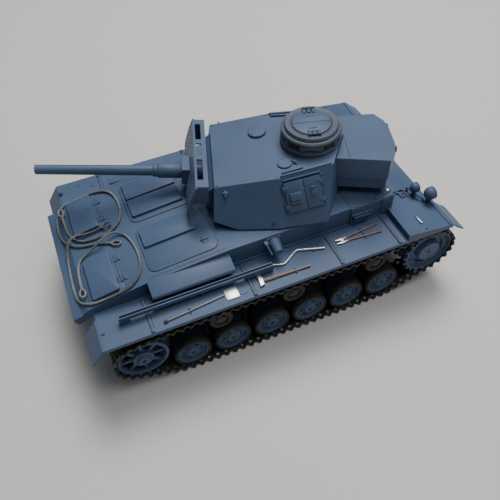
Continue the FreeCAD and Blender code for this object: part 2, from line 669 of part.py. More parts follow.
def place_gun(shape):
    """Put a shape from the gun's own frame (+X along the bore, origin at the trunnion) on the hull."""
    raised = shape.copy()
    lift = FreeCAD.Placement(V(TRUNNION[0], 0, TRUNNION[1]), FreeCAD.Rotation(Y_AXIS, -GUN_ELEVATION))
    raised.Placement = lift.multiply(raised.Placement)
    return place_turret(raised)


FRONT_TOP = (51.0, 38.3, 125.2)
KINK_TOP = (1.9, 40.0, 130.4)
REAR_TOP = (-40.6, 34.0, 134.8)
BACK_TOP = (-53.0, 4.0, 136.1)
KINK_FOOT = (3.0, 58.6, TURRET_FLOOR)
REAR_FOOT = (-38.4, 49.0, TURRET_FLOOR)
CHIN_TOP = (54.0, 46.0, 100.0)
CHIN_FOOT = (35.7, 55.6, TURRET_FLOOR)


def flip(point):
    """The same point on the turret's other side."""
    return (point[0], -point[1], point[2])


def turret_planes():
    """Outer planes of the turret; the last value says whether an inset moves the plane."""
    roof = (FRONT_TOP, flip(FRONT_TOP), REAR_TOP, True)
    front = (FRONT_TOP, flip(FRONT_TOP), (CHIN_TOP[0], 0.0, CHIN_TOP[2]), True)
    floor = ((0, 0, TURRET_FLOOR), (10, 0, TURRET_FLOOR), (0, 10, TURRET_FLOOR), True)
    planes = [roof, front, floor]
    for turn in (tuple, flip):
        planes.append((turn(FRONT_TOP), turn(KINK_TOP), turn(KINK_FOOT), True))
        planes.append((turn(KINK_TOP), turn(REAR_TOP), turn(KINK_FOOT), True))
        planes.append((turn(REAR_TOP), turn(BACK_TOP), turn(REAR_FOOT), True))
        planes.append((turn(CHIN_TOP), turn(CHIN_FOOT), (49.0, turn((0, 30.0, 0))[1], TURRET_FLOOR), True))
    return planes


INSIDE = V(0, 0, 112)


class SideFace:
    """Local frame on the turret's rear side plane, where the side door sits."""

    def __init__(self, sign):
        self.sign = sign
        top, rear, foot = (V(p[0], sign * p[1], p[2]) for p in (KINK_TOP, REAR_TOP, KINK_FOOT))
        normal = (rear - top).cross(foot - top).normalize()
        if normal.y * sign < 0:
            normal = normal * -1
        self.out = normal
        self.back = (rear - top).normalize()
        self.up = self.back.cross(normal)
        if self.up.z < 0:
            self.up = self.up * -1
        self.origin = foot + self.up * 4.0 + self.back * 1.0

    def point(self, back, up, out):
        """Point at distances rearwards, up the slope and outwards."""
        return self.origin + self.back * back + self.up * up + self.out * out

    def block(self, back0, back1, up0, up1, out0, out1):
        """Block lined up with the face."""
        corners = [self.point(b, u, out0) for b, u in ((back0, up0), (back1, up0), (back1, up1), (back0, up1))]
        return Part.Face(Part.makePolygon(corners + corners[:1])).extrude(self.out * (out1 - out0))


DOOR_HEIGHT = (6.9, 31.4)
DOOR_LEAVES = {"front": (8.6, 23.6), "rear": (24.0, 37.0)}
DOOR_OUT = (GAP, GAP + 1.6)
HINGE_OUT = 1.2
HINGE_R = 0.9


def make_turret_shell():
    """Hollow faceted turret with hatch throat, side door apertures, gun opening and trunnion lugs."""
    outer = convex_body(turret_planes(), INSIDE)
    inner = convex_body(turret_planes(), INSIDE, 2.0)
    shell = outer.cut(inner)
    shell = shell.cut(Part.makeCylinder(RING_INNER_R, 6, V(0, 0, TURRET_FLOOR - 2)))
    shell = shell.cut(Part.makeCylinder(HATCH_R - 1.5, 20, V(CUPOLA_T, 0, 122)))
    opening = disc_y(TRUNNION[0], TRUNNION[1], -MANTLET_HALF - 0.6, MANTLET_HALF + 0.6, MANTLET_R + 0.5)
    shell = shell.cut(opening).cut(box(46.0, 60.0, -MANTLET_HALF - 0.6, MANTLET_HALF + 0.6, 94.0, 99.0))
    for sign in (-1, 1):
        face = SideFace(sign)
        for start, end in DOOR_LEAVES.values():
            shell = shell.cut(face.block(start + 1.6, end - 1.6, DOOR_HEIGHT[0] + 1.6, DOOR_HEIGHT[1] - 1.6, -4.0, 1.0))
        lug = box(42.5, 51.5, sign * (MANTLET_HALF + 0.9), sign * (MANTLET_HALF + 3.4), 103.0, 111.6)
        shell = shell.fuse(lug.common(outer))
        shell = shell.cut(disc_y(TRUNNION[0], TRUNNION[1], 0, sign * (MANTLET_HALF + 4.5), PIN_R + RUNNING))
        shell = shell.cut(disc_y(TRUNNION[0], TRUNNION[1], 0, sign * (MANTLET_HALF + 0.6), MANTLET_R + 0.5))
    vent = Part.makeCylinder(7.4, 2.2, V(12.2, -18.0, 127.6))
    port = Part.makeCylinder(5.0, 1.4, V(-4.9, 24.5, 130.2))
    tilt = math.degrees(math.atan2(REAR_TOP[2] - FRONT_TOP[2], FRONT_TOP[0] - REAR_TOP[0]))
    for lid, centre in ((vent, V(12.2, -18.0, 129.0)), (port, V(-4.9, 24.5, 131.0))):
        lid.rotate(centre, Y_AXIS, tilt)
        shell = shell.fuse(lid)
    return place_turret(shell)


def make_turret_ring():
    """Bearing ring under the turret floor, turning in the hull roof's hole."""
    ring = Part.makeCylinder(RING_R, 8.5, V(0, 0, TURRET_FLOOR - 8.5))
    return place_turret(ring.cut(Part.makeCylinder(RING_INNER_R, 9, V(0, 0, TURRET_FLOOR - 8.7))))


def make_cupola():
    """Round commander's cupola with vision blocks round its middle and an open hatch throat."""
    centre = V(CUPOLA_T, 0, 0)
    base_z = 137.2
    base = Part.makeCylinder(CUPOLA_R, 12.0, centre + V(0, 0, base_z - 12.0))
    base = base.cut(convex_body(turret_planes(), INSIDE))
    belt = Part.makeCylinder(CUPOLA_R - 2.6, 8.0, centre + V(0, 0, base_z - 0.2))
    blocks = []
    for step in range(5):
        angle = math.radians(72 * step + 10)
        block = box(CUPOLA_R - 4.6, CUPOLA_R - 0.6, -9.0, 9.0, base_z - 0.2, base_z + 6.0)
        block.rotate(V(0, 0, 0), Z_AXIS, math.degrees(angle))
        block.translate(centre)
        blocks.append(block.common(Part.makeCylinder(CUPOLA_R - 0.6, 20, centre + V(0, 0, base_z - 4))))
    crown = Part.makeCylinder(CUPOLA_R - 1.6, 3.4, centre + V(0, 0, base_z + 6.0))
    crown = crown.makeChamfer(1.0, [e for e in crown.Edges if e.CenterOfMass.z > base_z + 9.0])
    ring = Part.makeCylinder(21.0, CUPOLA_TOP - base_z - 8.0, centre + V(0, 0, base_z + 8.0))
    body = fuse([base, belt, crown, ring] + blocks)
    body = body.cut(Part.makeCylinder(HATCH_R - 1.5, 60, centre + V(0, 0, 110)))
    body = body.cut(Part.makeCylinder(HATCH_R + GAP, 10, centre + V(0, 0, CUPOLA_TOP - LID_THICK + 0.2)))
    return place_turret(body)


def make_cupola_lid(sign):
    """Half-round hatch leaf with two hinge knuckles on its outer edge."""
    centre = V(CUPOLA_T, 0, CUPOLA_TOP - LID_THICK + 0.5)
    leaf = Part.makeCylinder(HATCH_R, LID_THICK, centre)
    leaf = leaf.common(box(CUPOLA_T - 20, CUPOLA_T + 20, sign * 0.15, sign * 20, 100, 170))
    hinge_y = sign * (HATCH_R + 0.9)
    hinge_z = CUPOLA_TOP + 1.5
    knuckle = rod(V(CUPOLA_T - 4.6, hinge_y, hinge_z), V(CUPOLA_T + 4.6, hinge_y, hinge_z), 1.0)
    strap = box(CUPOLA_T - 4.2, CUPOLA_T + 4.2, sign * (HATCH_R - 5.0), hinge_y, CUPOLA_TOP + 0.45, CUPOLA_TOP + 1.35)
    return place_turret(fuse([leaf, knuckle, strap]))


def make_door(sign, leaf_name):
    """One leaf of a side door, with its hinge knuckles and the covered slot or port."""
    face = SideFace(sign)
    start, end = DOOR_LEAVES[leaf_name]
    low, high = DOOR_HEIGHT
    leaf = face.block(start, end, low, high, DOOR_OUT[0], DOOR_OUT[1])
    pieces = [leaf]
    hinge_at = start - 1.0 if leaf_name == "front" else end + 1.0
    for centre_up in (11.5, 26.5):
        a = face.point(hinge_at, centre_up - 2.4, HINGE_OUT)
        b = face.point(hinge_at, centre_up + 2.4, HINGE_OUT)
        pieces.append(rod(a, b, HINGE_R))
        strap_end = start + 2.5 if leaf_name == "front" else end - 2.5
        pieces.append(face.block(min(hinge_at, strap_end), max(hinge_at, strap_end), centre_up - 1.6,
                                 centre_up + 1.6, DOOR_OUT[1] - 0.5, DOOR_OUT[1] + 0.4))
    middle = (start + end) / 2
    if leaf_name == "front":
        pieces.append(face.block(middle - 4.6, middle + 4.6, 13.5, 22.5, DOOR_OUT[1] - 0.2, DOOR_OUT[1] + 2.0))
    else:
        pieces.append(face.block(middle - 2.4, middle + 2.4, 15.5, 21.5, DOOR_OUT[1] - 0.2, DOOR_OUT[1] + 1.0))
    return place_turret(fuse(pieces))


def make_stowage_bin():
    """Stowage bin on the turret's rear with a separate lid."""
    rim = bin_outline(0.0)
    upper = prism_z(rim, 112.0, BIN_TOP - 2.2)
    lower = prism_z(bin_outline(1.6), 100.5, 112.2)
    cavity = prism_z([point for point in bin_outline(3.0) if point[0] < -60.0], 113.5, BIN_TOP)
    body = fuse([upper, lower]).cut(cavity)
    lid = prism_z(rim, BIN_TOP - 2.2, BIN_TOP)
    keep_clear = convex_body(turret_planes(), INSIDE, -0.2)
    clear_cupola = Part.makeCylinder(CUPOLA_R + 0.4, 40, V(CUPOLA_T, 0, 120))
    pieces = [shape.cut(keep_clear).cut(clear_cupola) for shape in (body, lid)]
    return place_turret(group(pieces))


def bin_outline(inset):
    """Outline of the bin seen from above, moved inwards by inset."""
    left = [(-44.0, 24.0), (-62.0, 27.6), (-86.0, 32.5), (-91.5, 24.0), (-94.2, 12.0)]
    right = [(-94.2, -10.0), (-91.5, -18.0), (-86.0, -26.5), (-62.0, -27.0), (-44.0, -24.0)]
    outline = []
    for t, s in left + right:
        along = t + inset if t < -90.0 else t
        across = s - math.copysign(inset, s)
        outline.append((along, across))
    return outline


# ---------------------------------------------------------------- gun
def make_gun_mantlet():
    """Curved mantlet with trunnion pins, and the riveted spaced armour on its frame."""
    barrel_seat = disc_y(0, 0, -MANTLET_HALF, MANTLET_HALF, MANTLET_R)
    curved = barrel_seat.cut(box(-40, -2.0, -60, 60, -40, 40))
    pins = disc_y(0, 0, -MANTLET_HALF - 3.2, MANTLET_HALF + 3.2, PIN_R)
    outer_line = [(21.6, 20.4), (24.0, 12.0), (25.8, 4.0), (27.2, -3.5), (27.6, -8.5), (27.0, -12.0)]
    inner_line = [(25.4, -11.8), (26.0, -8.2), (25.6, -3.2), (24.2, 3.6), (22.4, 11.4), (20.0, 19.6)]
    plate = prism_y(outer_line + inner_line, -PLATE_HALF, PLATE_HALF)
    frame = prism_y([(11.6, 20.4), (21.6, 20.4), (20.6, 19.0), (11.6, 19.0)], -PLATE_HALF + 1.5, PLATE_HALF - 1.5)
    for y0, y1 in ((-35.0, -15.0), (-10.0, 4.5), (9.5, 33.0)):
        frame = frame.cut(box(15.2, 19.8, y0, y1, 15, 25))
    webs = []
    for y in (-37.0, 37.0):
        webs.append(prism_y([(12.0, 19.4), (20.8, 19.4), (25.4, 0.0), (10.0, 0.0)], y - 1.0, y + 1.0))
    seat = rod(V(0, 0, 0), V(30.0, 0, 0), BARREL_R + 2.4)
    body = fuse([curved, pins, plate, frame, seat] + webs)
    body = body.cut(rod(V(-1, 0, 0), V(40, 0, 0), BARREL_R + 1.2))
    collar = box(22.0, 31.0, -8.8, 8.8, -7.0, 8.4).cut(rod(V(0, 0, 0), V(40, 0, 0), SLEEVE_R + 0.75))
    collar = collar.cut(prism_y(outer_line + [(0.0, -12.0), (0.0, 21.0)], -PLATE_HALF, PLATE_HALF))
    return place_gun(group([body, collar]))


def make_gun_barrel():
    """Plain tapered tube with a thicker sleeve at the root and a bored muzzle."""
    sleeve = rod(V(31.0, 0, 0), V(52.0, 0, 0), SLEEVE_R)
    band = rod(V(50.0, 0, 0), V(54.0, 0, 0), BARREL_R + 0.9)
    tube = Part.makeCone(BARREL_R, MUZZLE_R, MUZZLE_T - 50.0, V(50.0, 0, 0), X_AXIS)
    root = rod(V(2.0, 0, 0), V(51.0, 0, 0), BARREL_R + 1.15)
    barrel = fuse([sleeve, band, tube, root])
    barrel = barrel.cut(rod(V(MUZZLE_T - 60, 0, 0), V(MUZZLE_T + 1, 0, 0), 2.6))
    return place_gun(barrel)


# ---------------------------------------------------------------- tow cables
# Each route is a list of (x, y, lift above the deck) for the cable's centre line.
LIE = 1.55
LID = 2.0
EDGE = 2.4
EYE = 2.8
RISE = 3.4
OVER = 6.4
FAR_CABLE = [
    (-149.4, 41.0, EYE), (-149.3, 32.5, LID), (-148.6, 23.5, LIE), (-146.4, 15.4, LID), (-141.2, 8.6, LIE),
    (-133.0, 5.4, LIE), (-123.5, 4.4, LIE), (-114.0, 5.6, LIE), (-106.8, 10.6, LIE), (-103.0, 19.0, LIE),
    (-102.0, 29.6, LIE), (-102.8, 40.6, LIE), (-106.8, 50.0, LIE), (-115.0, 55.4, LIE), (-125.0, 56.4, LIE),
    (-136.0, 56.2, LIE), (-145.6, 55.8, EDGE), (-152.2, 50.4, EDGE), (-155.4, 42.0, LIE), (-155.9, 32.6, LIE),
    (-155.0, 23.4, LIE), (-152.4, 14.4, EDGE), (-147.6, 7.0, EDGE), (-140.6, 2.6, LIE), (-132.6, 0.2, LIE),
    (-125.2, -2.6, LIE), (-119.0, -6.4, LIE)]
NEAR_CABLE = [
    (-149.6, -38.0, EYE), (-149.4, -29.0, LID), (-148.6, -20.0, LID), (-146.2, -12.0, LID), (-140.8, -7.4, LIE),
    (-133.8, -6.2, RISE), (-127.0, -5.0, OVER), (-119.8, -0.8, OVER), (-113.2, 0.8, RISE), (-107.2, -2.8, LIE),
    (-103.6, -10.6, LIE), (-101.8, -20.8, LIE), (-101.4, -31.6, LIE), (-102.8, -42.0, LIE), (-106.8, -50.0, LIE),
    (-114.0, -55.4, LIE), (-123.6, -56.5, LIE), (-134.0, -56.4, LIE), (-143.8, -56.1, EDGE), (-151.4, -51.6, EDGE),
    (-155.2, -43.6, LIE), (-155.9, -34.0, LIE), (-155.7, -24.0, LIE), (-155.3, -14.6, LIE), (-154.8, -6.0, LIE),
    (-153.4, 1.8, RISE), (-150.4, 8.6, OVER), (-144.4, 12.4, OVER), (-137.4, 12.9, RISE), (-129.8, 12.2, LID),
    (-122.8, 12.4, EDGE)]


def deck_route(points):
    """Route points in space, with heights taken from the deck."""
    return [deck_point(x, y, lift) for x, y, lift in points]


def tube_along(points, radius, name):
    """Tube along straight runs joined by tangent arcs as large as the runs allow."""
    edges = []
    centre_length = 0.0
    start = points[0]
    smallest = None
    for before, here, after in zip(points, points[1:], points[2:]):
        run_in, run_out = (here - before), (after - here)
        shorter = min(run_in.Length, run_out.Length)
        turn = run_in.getAngle(run_out)
        reach = 0.45 * shorter
        radius_here = reach / math.tan(turn / 2)
        smallest = radius_here if smallest is None else min(smallest, radius_here)
        a = here - run_in.normalize() * reach
        b = here + run_out.normalize() * reach
        middle_direction = (a + b) * 0.5 - here
        centre = here + middle_direction.normalize() * (radius_here / math.cos(turn / 2))
        middle = centre + (here - centre).normalize() * radius_here
        edges.append(Part.LineSegment(start, a).toShape())
        edges.append(Part.Arc(a, middle, b).toShape())
        centre_length += edges[-2].Length + edges[-1].Length
        start = b
    edges.append(Part.LineSegment(start, points[-1]).toShape())
    centre_length += edges[-1].Length
    path = Part.Wire(edges)
    section = Part.Wire([Part.Circle(points[0], points[1] - points[0], radius).toShape()])
    tube = path.makePipeShell([section], True, False)
    print("%s: length %.1f, smallest radius %.1f, volume %.1f of %.1f" % (
        name, centre_length, smallest, tube.Volume, centre_length * math.pi * radius * radius))
    return tube


def make_cable_eye(end, before):
    """Flat loop with a neck on a cable's end."""
    along = (end - before).normalize()
    across = Z_AXIS.cross(along).normalize()
    normal = along.cross(across)
    centre = end + along * 5.2
    ring = Part.makeTorus(2.9, 0.85, centre, normal)
    neck = rod(end, end + along * 2.8, 1.15)
    return ring.fuse(neck)


# ---------------------------------------------------------------- nodes
def build_cables():
    """Both tow cables and the four loops on their ends."""
    eyes = []
    for name, route in (("tow_cable_far", FAR_CABLE), ("tow_cable_near", NEAR_CABLE)):
        points = deck_route(route)
        export(name, tube_along(points, CABLE_R, name))
        eyes.append(make_cable_eye(points[0], points[1]))
        eyes.append(make_cable_eye(points[-1], points[-2]))
    export("tow_cable_eyes", group(eyes))


def build_hull():
    """Nodes that belong to the hull."""
    export("lower_hull", make_lower_hull())
    export("upper_hull", make_upper_hull())
    export("deck_covers", make_deck_covers())
    export("mud_flaps", make_mud_flaps())
    export("headlights", make_headlights())
    export("fender_fittings", make_fender_fittings())
    export("fender_tools", make_fender_tools())
    export("drive_units", make_drive_units())
    export("electronics", make_electronics())


def build_running_gear():
    """Wheels, arms, rollers, sprockets, idlers and tracks of both sides."""
    tooth_angle = sprocket_phase()
    for side in (-1, 1):
        name = side_name(side)
        for index in range(WHEEL_COUNT):
            export("%s_road_wheel_%d" % (name, index + 1), on_side(make_road_wheel(index), side))
            export("%s_swing_arm_%d" % (name, index + 1), on_side(make_swing_arm(index), side))
        for number, x in enumerate(ROLLER_X, 1):
            export("%s_return_roller_%d" % (name, number), on_side(make_return_roller(x), side))
        export("%s_sprocket" % name, on_side(make_sprocket(tooth_angle, SPROCKET_PITCH_R), side))
        export("%s_idler" % name, on_side(make_idler(), side))
        export("%s_track" % name, make_track(side))


def build_turret():
    """Turret, cupola, hatches, bin and gun."""
    export("turret_shell", make_turret_shell())
    export("turret_ring", make_turret_ring())
    export("stowage_bin", make_stowage_bin())
    export("cupola", make_cupola())
    for sign, name in ((1, "left"), (-1, "right")):
        export("cupola_lid_%s" % name, make_cupola_lid(sign))
        for leaf_name in DOOR_LEAVES:
            export("%s_door_%s_leaf" % (name, leaf_name), make_door(sign, leaf_name))
    export("gun_mantlet", make_gun_mantlet())
    export("gun_barrel", make_gun_barrel())


def main():
    """Write every node and print the values that the record needs."""
    os.makedirs("parts", exist_ok=True)
    build_hull()
    build_cables()
    build_running_gear()
    build_turret()
    print("links per track %d, pitch %.4f, sprocket pitch radius %.3f" % (LINK_COUNT, LINK_PITCH, SPROCKET_PITCH_R))


main()
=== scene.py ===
"""Visual model of a remote control tank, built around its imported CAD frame.

Sizes in the classes are in millimetres; a Maker turns each finished mesh into metres.
The hull frame has +X to the front and +Z up. The turret frame has +X along the gun and +Y to its left.
"""
from __future__ import annotations

import json
import logging
import math
from dataclasses import dataclass, field
from enum import Enum
from typing import Iterable, Sequence

import bmesh
import bpy
from mathutils import Matrix, Vector

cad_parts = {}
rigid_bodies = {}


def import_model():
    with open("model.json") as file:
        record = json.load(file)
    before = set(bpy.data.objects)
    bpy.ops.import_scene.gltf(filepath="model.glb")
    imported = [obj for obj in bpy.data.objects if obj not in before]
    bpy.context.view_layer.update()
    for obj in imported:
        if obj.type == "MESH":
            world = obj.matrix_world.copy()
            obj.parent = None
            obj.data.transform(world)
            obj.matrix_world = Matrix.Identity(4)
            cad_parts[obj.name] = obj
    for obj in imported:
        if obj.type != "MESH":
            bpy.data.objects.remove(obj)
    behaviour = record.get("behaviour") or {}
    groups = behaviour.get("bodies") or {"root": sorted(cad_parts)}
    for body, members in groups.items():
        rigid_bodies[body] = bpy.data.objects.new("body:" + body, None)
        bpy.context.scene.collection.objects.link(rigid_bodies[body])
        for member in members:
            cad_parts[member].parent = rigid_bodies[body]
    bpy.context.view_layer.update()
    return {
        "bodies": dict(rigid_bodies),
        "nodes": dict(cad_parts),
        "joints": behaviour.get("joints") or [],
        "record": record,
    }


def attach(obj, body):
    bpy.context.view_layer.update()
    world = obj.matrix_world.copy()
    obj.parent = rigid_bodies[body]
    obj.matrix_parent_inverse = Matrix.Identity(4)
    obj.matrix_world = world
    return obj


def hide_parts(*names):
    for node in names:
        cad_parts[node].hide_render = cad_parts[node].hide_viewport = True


MM = 0.001
Point = Sequence[float]
Color = tuple[float, float, float]
LOG = logging.getLogger("tank")


class Slot(Enum):
    """Material slots of the record."""

    HULL = "hull_plastic"
    CUPOLA = "cupola_plastic"
    LAMP = "lamp_metal"
    TOOL = "tool_metal"
    ROPE = "rope"
    WHEEL = "wheel_rubber"
    ARM = "arm_metal"
    TRACK = "track_plastic"


# ---------------------------------------------------------------- finishes
MIX_A, MIX_B, MIX_RESULT = 6, 7, 2


def add_node(tree: bpy.types.NodeTree, kind: str, operation: str = "", **values: float) -> bpy.types.Node:
    """Adds a shader node.

    Args:
        tree: where it goes.
        kind: node type without its prefix.
        operation: what a math node does.
        values: input defaults by name, with _ for a space.

    Returns:
        The new node.
    """
    node = tree.nodes.new("ShaderNode" + kind)
    if operation:
        node.operation = operation
    for label, value in values.items():
        node.inputs[label.replace("_", " ")].default_value = value
    return node


def wire(tree: bpy.types.NodeTree, *pairs: tuple[bpy.types.NodeSocket, bpy.types.NodeSocket]) -> None:
    """Links each pair of output and input sockets."""
    for source, target in pairs:
        tree.links.new(source, target)


class SharedNodes:
    """Node groups that several finishes use."""

    def __init__(self) -> None:
        """Builds each group once."""
        self.wear_and_highlight = self._edge_wear_and_highlight()
        self.mottle = self._mottle()
        self.grain = self._grain()

    @staticmethod
    def _group(name: str, inputs: dict[str, float], outputs: Iterable[str]) -> bpy.types.NodeTree:
        """Makes an empty group.

        Args:
            name: the group's name.
            inputs: value sockets with their defaults.
            outputs: names of value outputs.

        Returns:
            The node tree with its input and output nodes.
        """
        tree = bpy.data.node_groups.new(name, "ShaderNodeTree")
        for label, default in inputs.items():
            socket = tree.interface.new_socket(label, in_out="INPUT", socket_type="NodeSocketFloat")
            socket.default_value = default
        for label in outputs:
            tree.interface.new_socket(label, in_out="OUTPUT", socket_type="NodeSocketFloat")
        tree.nodes.new("NodeGroupInput")
        tree.nodes.new("NodeGroupOutput")
        return tree

    def _edge_wear_and_highlight(self) -> bpy.types.NodeTree:
        """Mask that is 1 on convex edges, broken up by noise: partly paint rubbed off, partly painted edge
        highlight.
        """
        tree = self._group("edge_wear_and_highlight", {"Radius": 0.0004, "Amount": 1.0}, ["Mask"])
        bevel = add_node(tree, "Bevel")
        bevel.samples = 4
        geometry = add_node(tree, "NewGeometry")
        dot = add_node(tree, "VectorMath", "DOT_PRODUCT")
        edge = add_node(tree, "MapRange", From_Min=0.995, From_Max=0.86)
        coords = add_node(tree, "TexCoord")
        noise = add_node(tree, "TexNoise", Scale=260.0, Detail=4.0)
        broken = add_node(tree, "MapRange", From_Min=0.38, From_Max=0.62)
        product = add_node(tree, "Math", "MULTIPLY")
        scaled = add_node(tree, "Math", "MULTIPLY")
        enter, leave = tree.nodes["Group Input"], tree.nodes["Group Output"]
        wire(tree,
             (enter.outputs["Radius"], bevel.inputs["Radius"]),
             (bevel.outputs["Normal"], dot.inputs[0]),
             (geometry.outputs["Normal"], dot.inputs[1]),
             (dot.outputs["Value"], edge.inputs["Value"]),
             (coords.outputs["Object"], noise.inputs["Vector"]),
             (noise.outputs[0], broken.inputs["Value"]),
             (edge.outputs["Result"], product.inputs[0]),
             (broken.outputs["Result"], product.inputs[1]),
             (product.outputs["Value"], scaled.inputs[0]),
             (enter.outputs["Amount"], scaled.inputs[1]),
             (scaled.outputs["Value"], leave.inputs["Mask"]))
        return tree

    def _mottle(self) -> bpy.types.NodeTree:
        """Broad uneven tone and a fine height, as on moulded and sprayed plastic."""
        tree = self._group("mottle", {"Broad": 22.0, "Fine": 900.0}, ["Tone", "Height"])
        coords = add_node(tree, "TexCoord")
        enter, leave = tree.nodes["Group Input"], tree.nodes["Group Output"]
        for label, socket, detail in (("Broad", "Tone", 5.0), ("Fine", "Height", 2.0)):
            noise = add_node(tree, "TexNoise", Detail=detail)
            wire(tree,
                 (coords.outputs["Object"], noise.inputs["Vector"]),
                 (enter.outputs[label], noise.inputs["Scale"]),
                 (noise.outputs[0], leave.inputs[socket]))
        return tree

    def _grain(self) -> bpy.types.NodeTree:
        """Long streaks along X, for wood."""
        tree = self._group("grain", {"Scale": 500.0}, ["Tone"])
        coords = add_node(tree, "TexCoord")
        stretch = add_node(tree, "VectorMath", "MULTIPLY")
        stretch.inputs[1].default_value = (0.06, 1.0, 1.0)
        noise = add_node(tree, "TexNoise", Detail=5.0)
        enter, leave = tree.nodes["Group Input"], tree.nodes["Group Output"]
        wire(tree,
             (coords.outputs["Object"], stretch.inputs[0]),
             (stretch.outputs["Vector"], noise.inputs["Vector"]),
             (enter.outputs["Scale"], noise.inputs["Scale"]),
             (noise.outputs[0], leave.inputs["Tone"]))
        return tree


@dataclass(frozen=True)
class Finish:
    """One surface finish.

    Attributes:
        name: the material's name.
        dark: colour in the darker patches.
        light: colour in the lighter patches.
        roughness: mean roughness.
        metallic: metal share.
        wear_and_highlight: strength of the lighter convex edges, partly paint rubbed off and partly painted
            highlight.
        wear_and_highlight_color: colour of those lighter edges.
        bump: height of the fine texture.
        streaks: uses long streaks in place of mottling.
        coat: clear coat weight.
        specular: strength of the reflection.
    """

    name: str
    dark: Color
    light: Color
    roughness: float = 0.5
    metallic: float = 0.0
    wear_and_highlight: float = 0.0
    wear_and_highlight_color: Color = (0.5, 0.5, 0.5)
    bump: float = 0.05
    streaks: bool = False
    coat: float = 0.0
    specular: float = 0.5

    def material(self, shared: SharedNodes) -> bpy.types.Material:
        """Builds the material.

        Args:
            shared: the node groups.

        Returns:
            The new material.
        """
        material = bpy.data.materials.new(self.name)
        material.use_nodes = True
        tree = material.node_tree
        shader = tree.nodes["Principled BSDF"]
        shader.inputs["Metallic"].default_value = self.metallic
        shader.inputs["Coat Weight"].default_value = self.coat
        shader.inputs["Specular IOR Level"].default_value = self.specular
        surface = add_node(tree, "Group")
        surface.node_tree = shared.mottle
        tone = surface.outputs["Tone"]
        if self.streaks:
            streaks = add_node(tree, "Group")
            streaks.node_tree = shared.grain
            tone = streaks.outputs["Tone"]
        spread = add_node(tree, "MapRange", From_Min=0.3, From_Max=0.7)
        color = self._mix(tree, spread.outputs["Result"], self.dark, self.light)
        # Convex edges mixed towards a lighter colour: partly paint rubbed off, partly painted highlight.
        if self.wear_and_highlight > 0:
            edges = add_node(tree, "Group")
            edges.node_tree = shared.wear_and_highlight
            edges.inputs["Amount"].default_value = self.wear_and_highlight
            top = self._mix(tree, edges.outputs["Mask"], self.dark, self.wear_and_highlight_color)
            wire(tree, (color.outputs[MIX_RESULT], top.inputs[MIX_A]))
            color = top
        rough = add_node(tree, "MapRange", To_Min=self.roughness - 0.06, To_Max=self.roughness + 0.06)
        bump = add_node(tree, "Bump", Strength=self.bump, Distance=0.0002)
        wire(tree,
             (tone, spread.inputs["Value"]),
             (color.outputs[MIX_RESULT], shader.inputs["Base Color"]),
             (spread.outputs["Result"], rough.inputs["Value"]),
             (rough.outputs["Result"], shader.inputs["Roughness"]),
             (surface.outputs["Height"], bump.inputs["Height"]),
             (bump.outputs["Normal"], shader.inputs["Normal"]))
        return material

    @staticmethod
    def _mix(tree: bpy.types.NodeTree, factor: bpy.types.NodeSocket, low: Color, high: Color) -> bpy.types.Node:
        """Adds a mix that gives low at a factor of 0 and high at 1."""
        mix = add_node(tree, "Mix")
        mix.data_type = "RGBA"
        mix.inputs[MIX_A].default_value = (*low, 1.0)
        mix.inputs[MIX_B].default_value = (*high, 1.0)
        wire(tree, (factor, mix.inputs["Factor"]))
        return mix


# The lighter edge colours below brighten convex edges: partly paint rubbed off, partly painted highlight.
PAINT = Finish("paint_blue_grey", (0.056, 0.089, 0.156), (0.071, 0.112, 0.19), 0.46, wear_and_highlight=0.5,
               wear_and_highlight_color=(0.2, 0.27, 0.38), bump=0.06, specular=0.25)
CUPOLA_PAINT = Finish("paint_cupola", (0.07, 0.09, 0.12), (0.09, 0.112, 0.146), 0.42, wear_and_highlight=0.35,
                      wear_and_highlight_color=(0.2, 0.25, 0.3), bump=0.06, specular=0.25)
# Near-black for real seams and gaps, and also painted shade in the wheel slots, the sprocket holes and under the
# intake boxes.
SEAM_AND_SHADE = Finish("seam_shadow", (0.012, 0.015, 0.022), (0.016, 0.02, 0.028), 0.7)
TYRE = Finish("tyre_rubber", (0.012, 0.012, 0.011), (0.024, 0.022, 0.02), 0.75, bump=0.15)
TRACK = Finish("track_black", (0.012, 0.012, 0.013), (0.024, 0.024, 0.026), 0.42, wear_and_highlight=0.5,
               wear_and_highlight_color=(0.12, 0.12, 0.12), bump=0.1)
PIN = Finish("track_pin", (0.1, 0.1, 0.1), (0.2, 0.2, 0.19), 0.35, metallic=0.8)
STEEL = Finish("tool_steel", (0.56, 0.57, 0.58), (0.66, 0.67, 0.67), 0.35, metallic=0.8, bump=0.02)
WOOD = Finish("tool_wood", (0.15, 0.086, 0.05), (0.33, 0.2, 0.125), 0.5, streaks=True, bump=0.1)
PALE_WOOD = Finish("tool_wood_pale", (0.16, 0.135, 0.12), (0.34, 0.3, 0.27), 0.5, streaks=True, bump=0.1)
# Dark and light patches carry the rope's shadow and highlight tones, spread at random: painted shade and painted
# highlight over the strands' real bump.
ROPE = Finish("rope_strand", (0.05, 0.056, 0.06), (0.27, 0.28, 0.28), 0.6, bump=0.4)
IRON = Finish("arm_iron", (0.018, 0.019, 0.021), (0.03, 0.032, 0.035), 0.6)
GLASS = Finish("lamp_glass", (0.02, 0.024, 0.03), (0.03, 0.035, 0.042), 0.12, coat=1.0, bump=0.0)


class Paints:
    """Materials by finish, made when first asked for."""

    def __init__(self) -> None:
        """Prepares the shared groups."""
        self._shared = SharedNodes()
        self._made: dict[str, bpy.types.Material] = {}

    def get(self, finish: Finish) -> bpy.types.Material:
        """The material of a finish."""
        if finish.name not in self._made:
            self._made[finish.name] = finish.material(self._shared)
        return self._made[finish.name]


# ---------------------------------------------------------------- meshes
def arc(radius: float, start: float, end: float, count: int, height: float = 0.0) -> list[Point]:
    """Points of an arc about Z.

    Args:
        radius: its radius.
        start: first angle in radians.
        end: last angle in radians.
        count: number of steps.
        height: height of the points.

    Returns:
        The points in order.
    """
    angles = [start + (end - start) * k / count for k in range(count + 1)]
    return [(radius * math.cos(a), radius * math.sin(a), height) for a in angles]


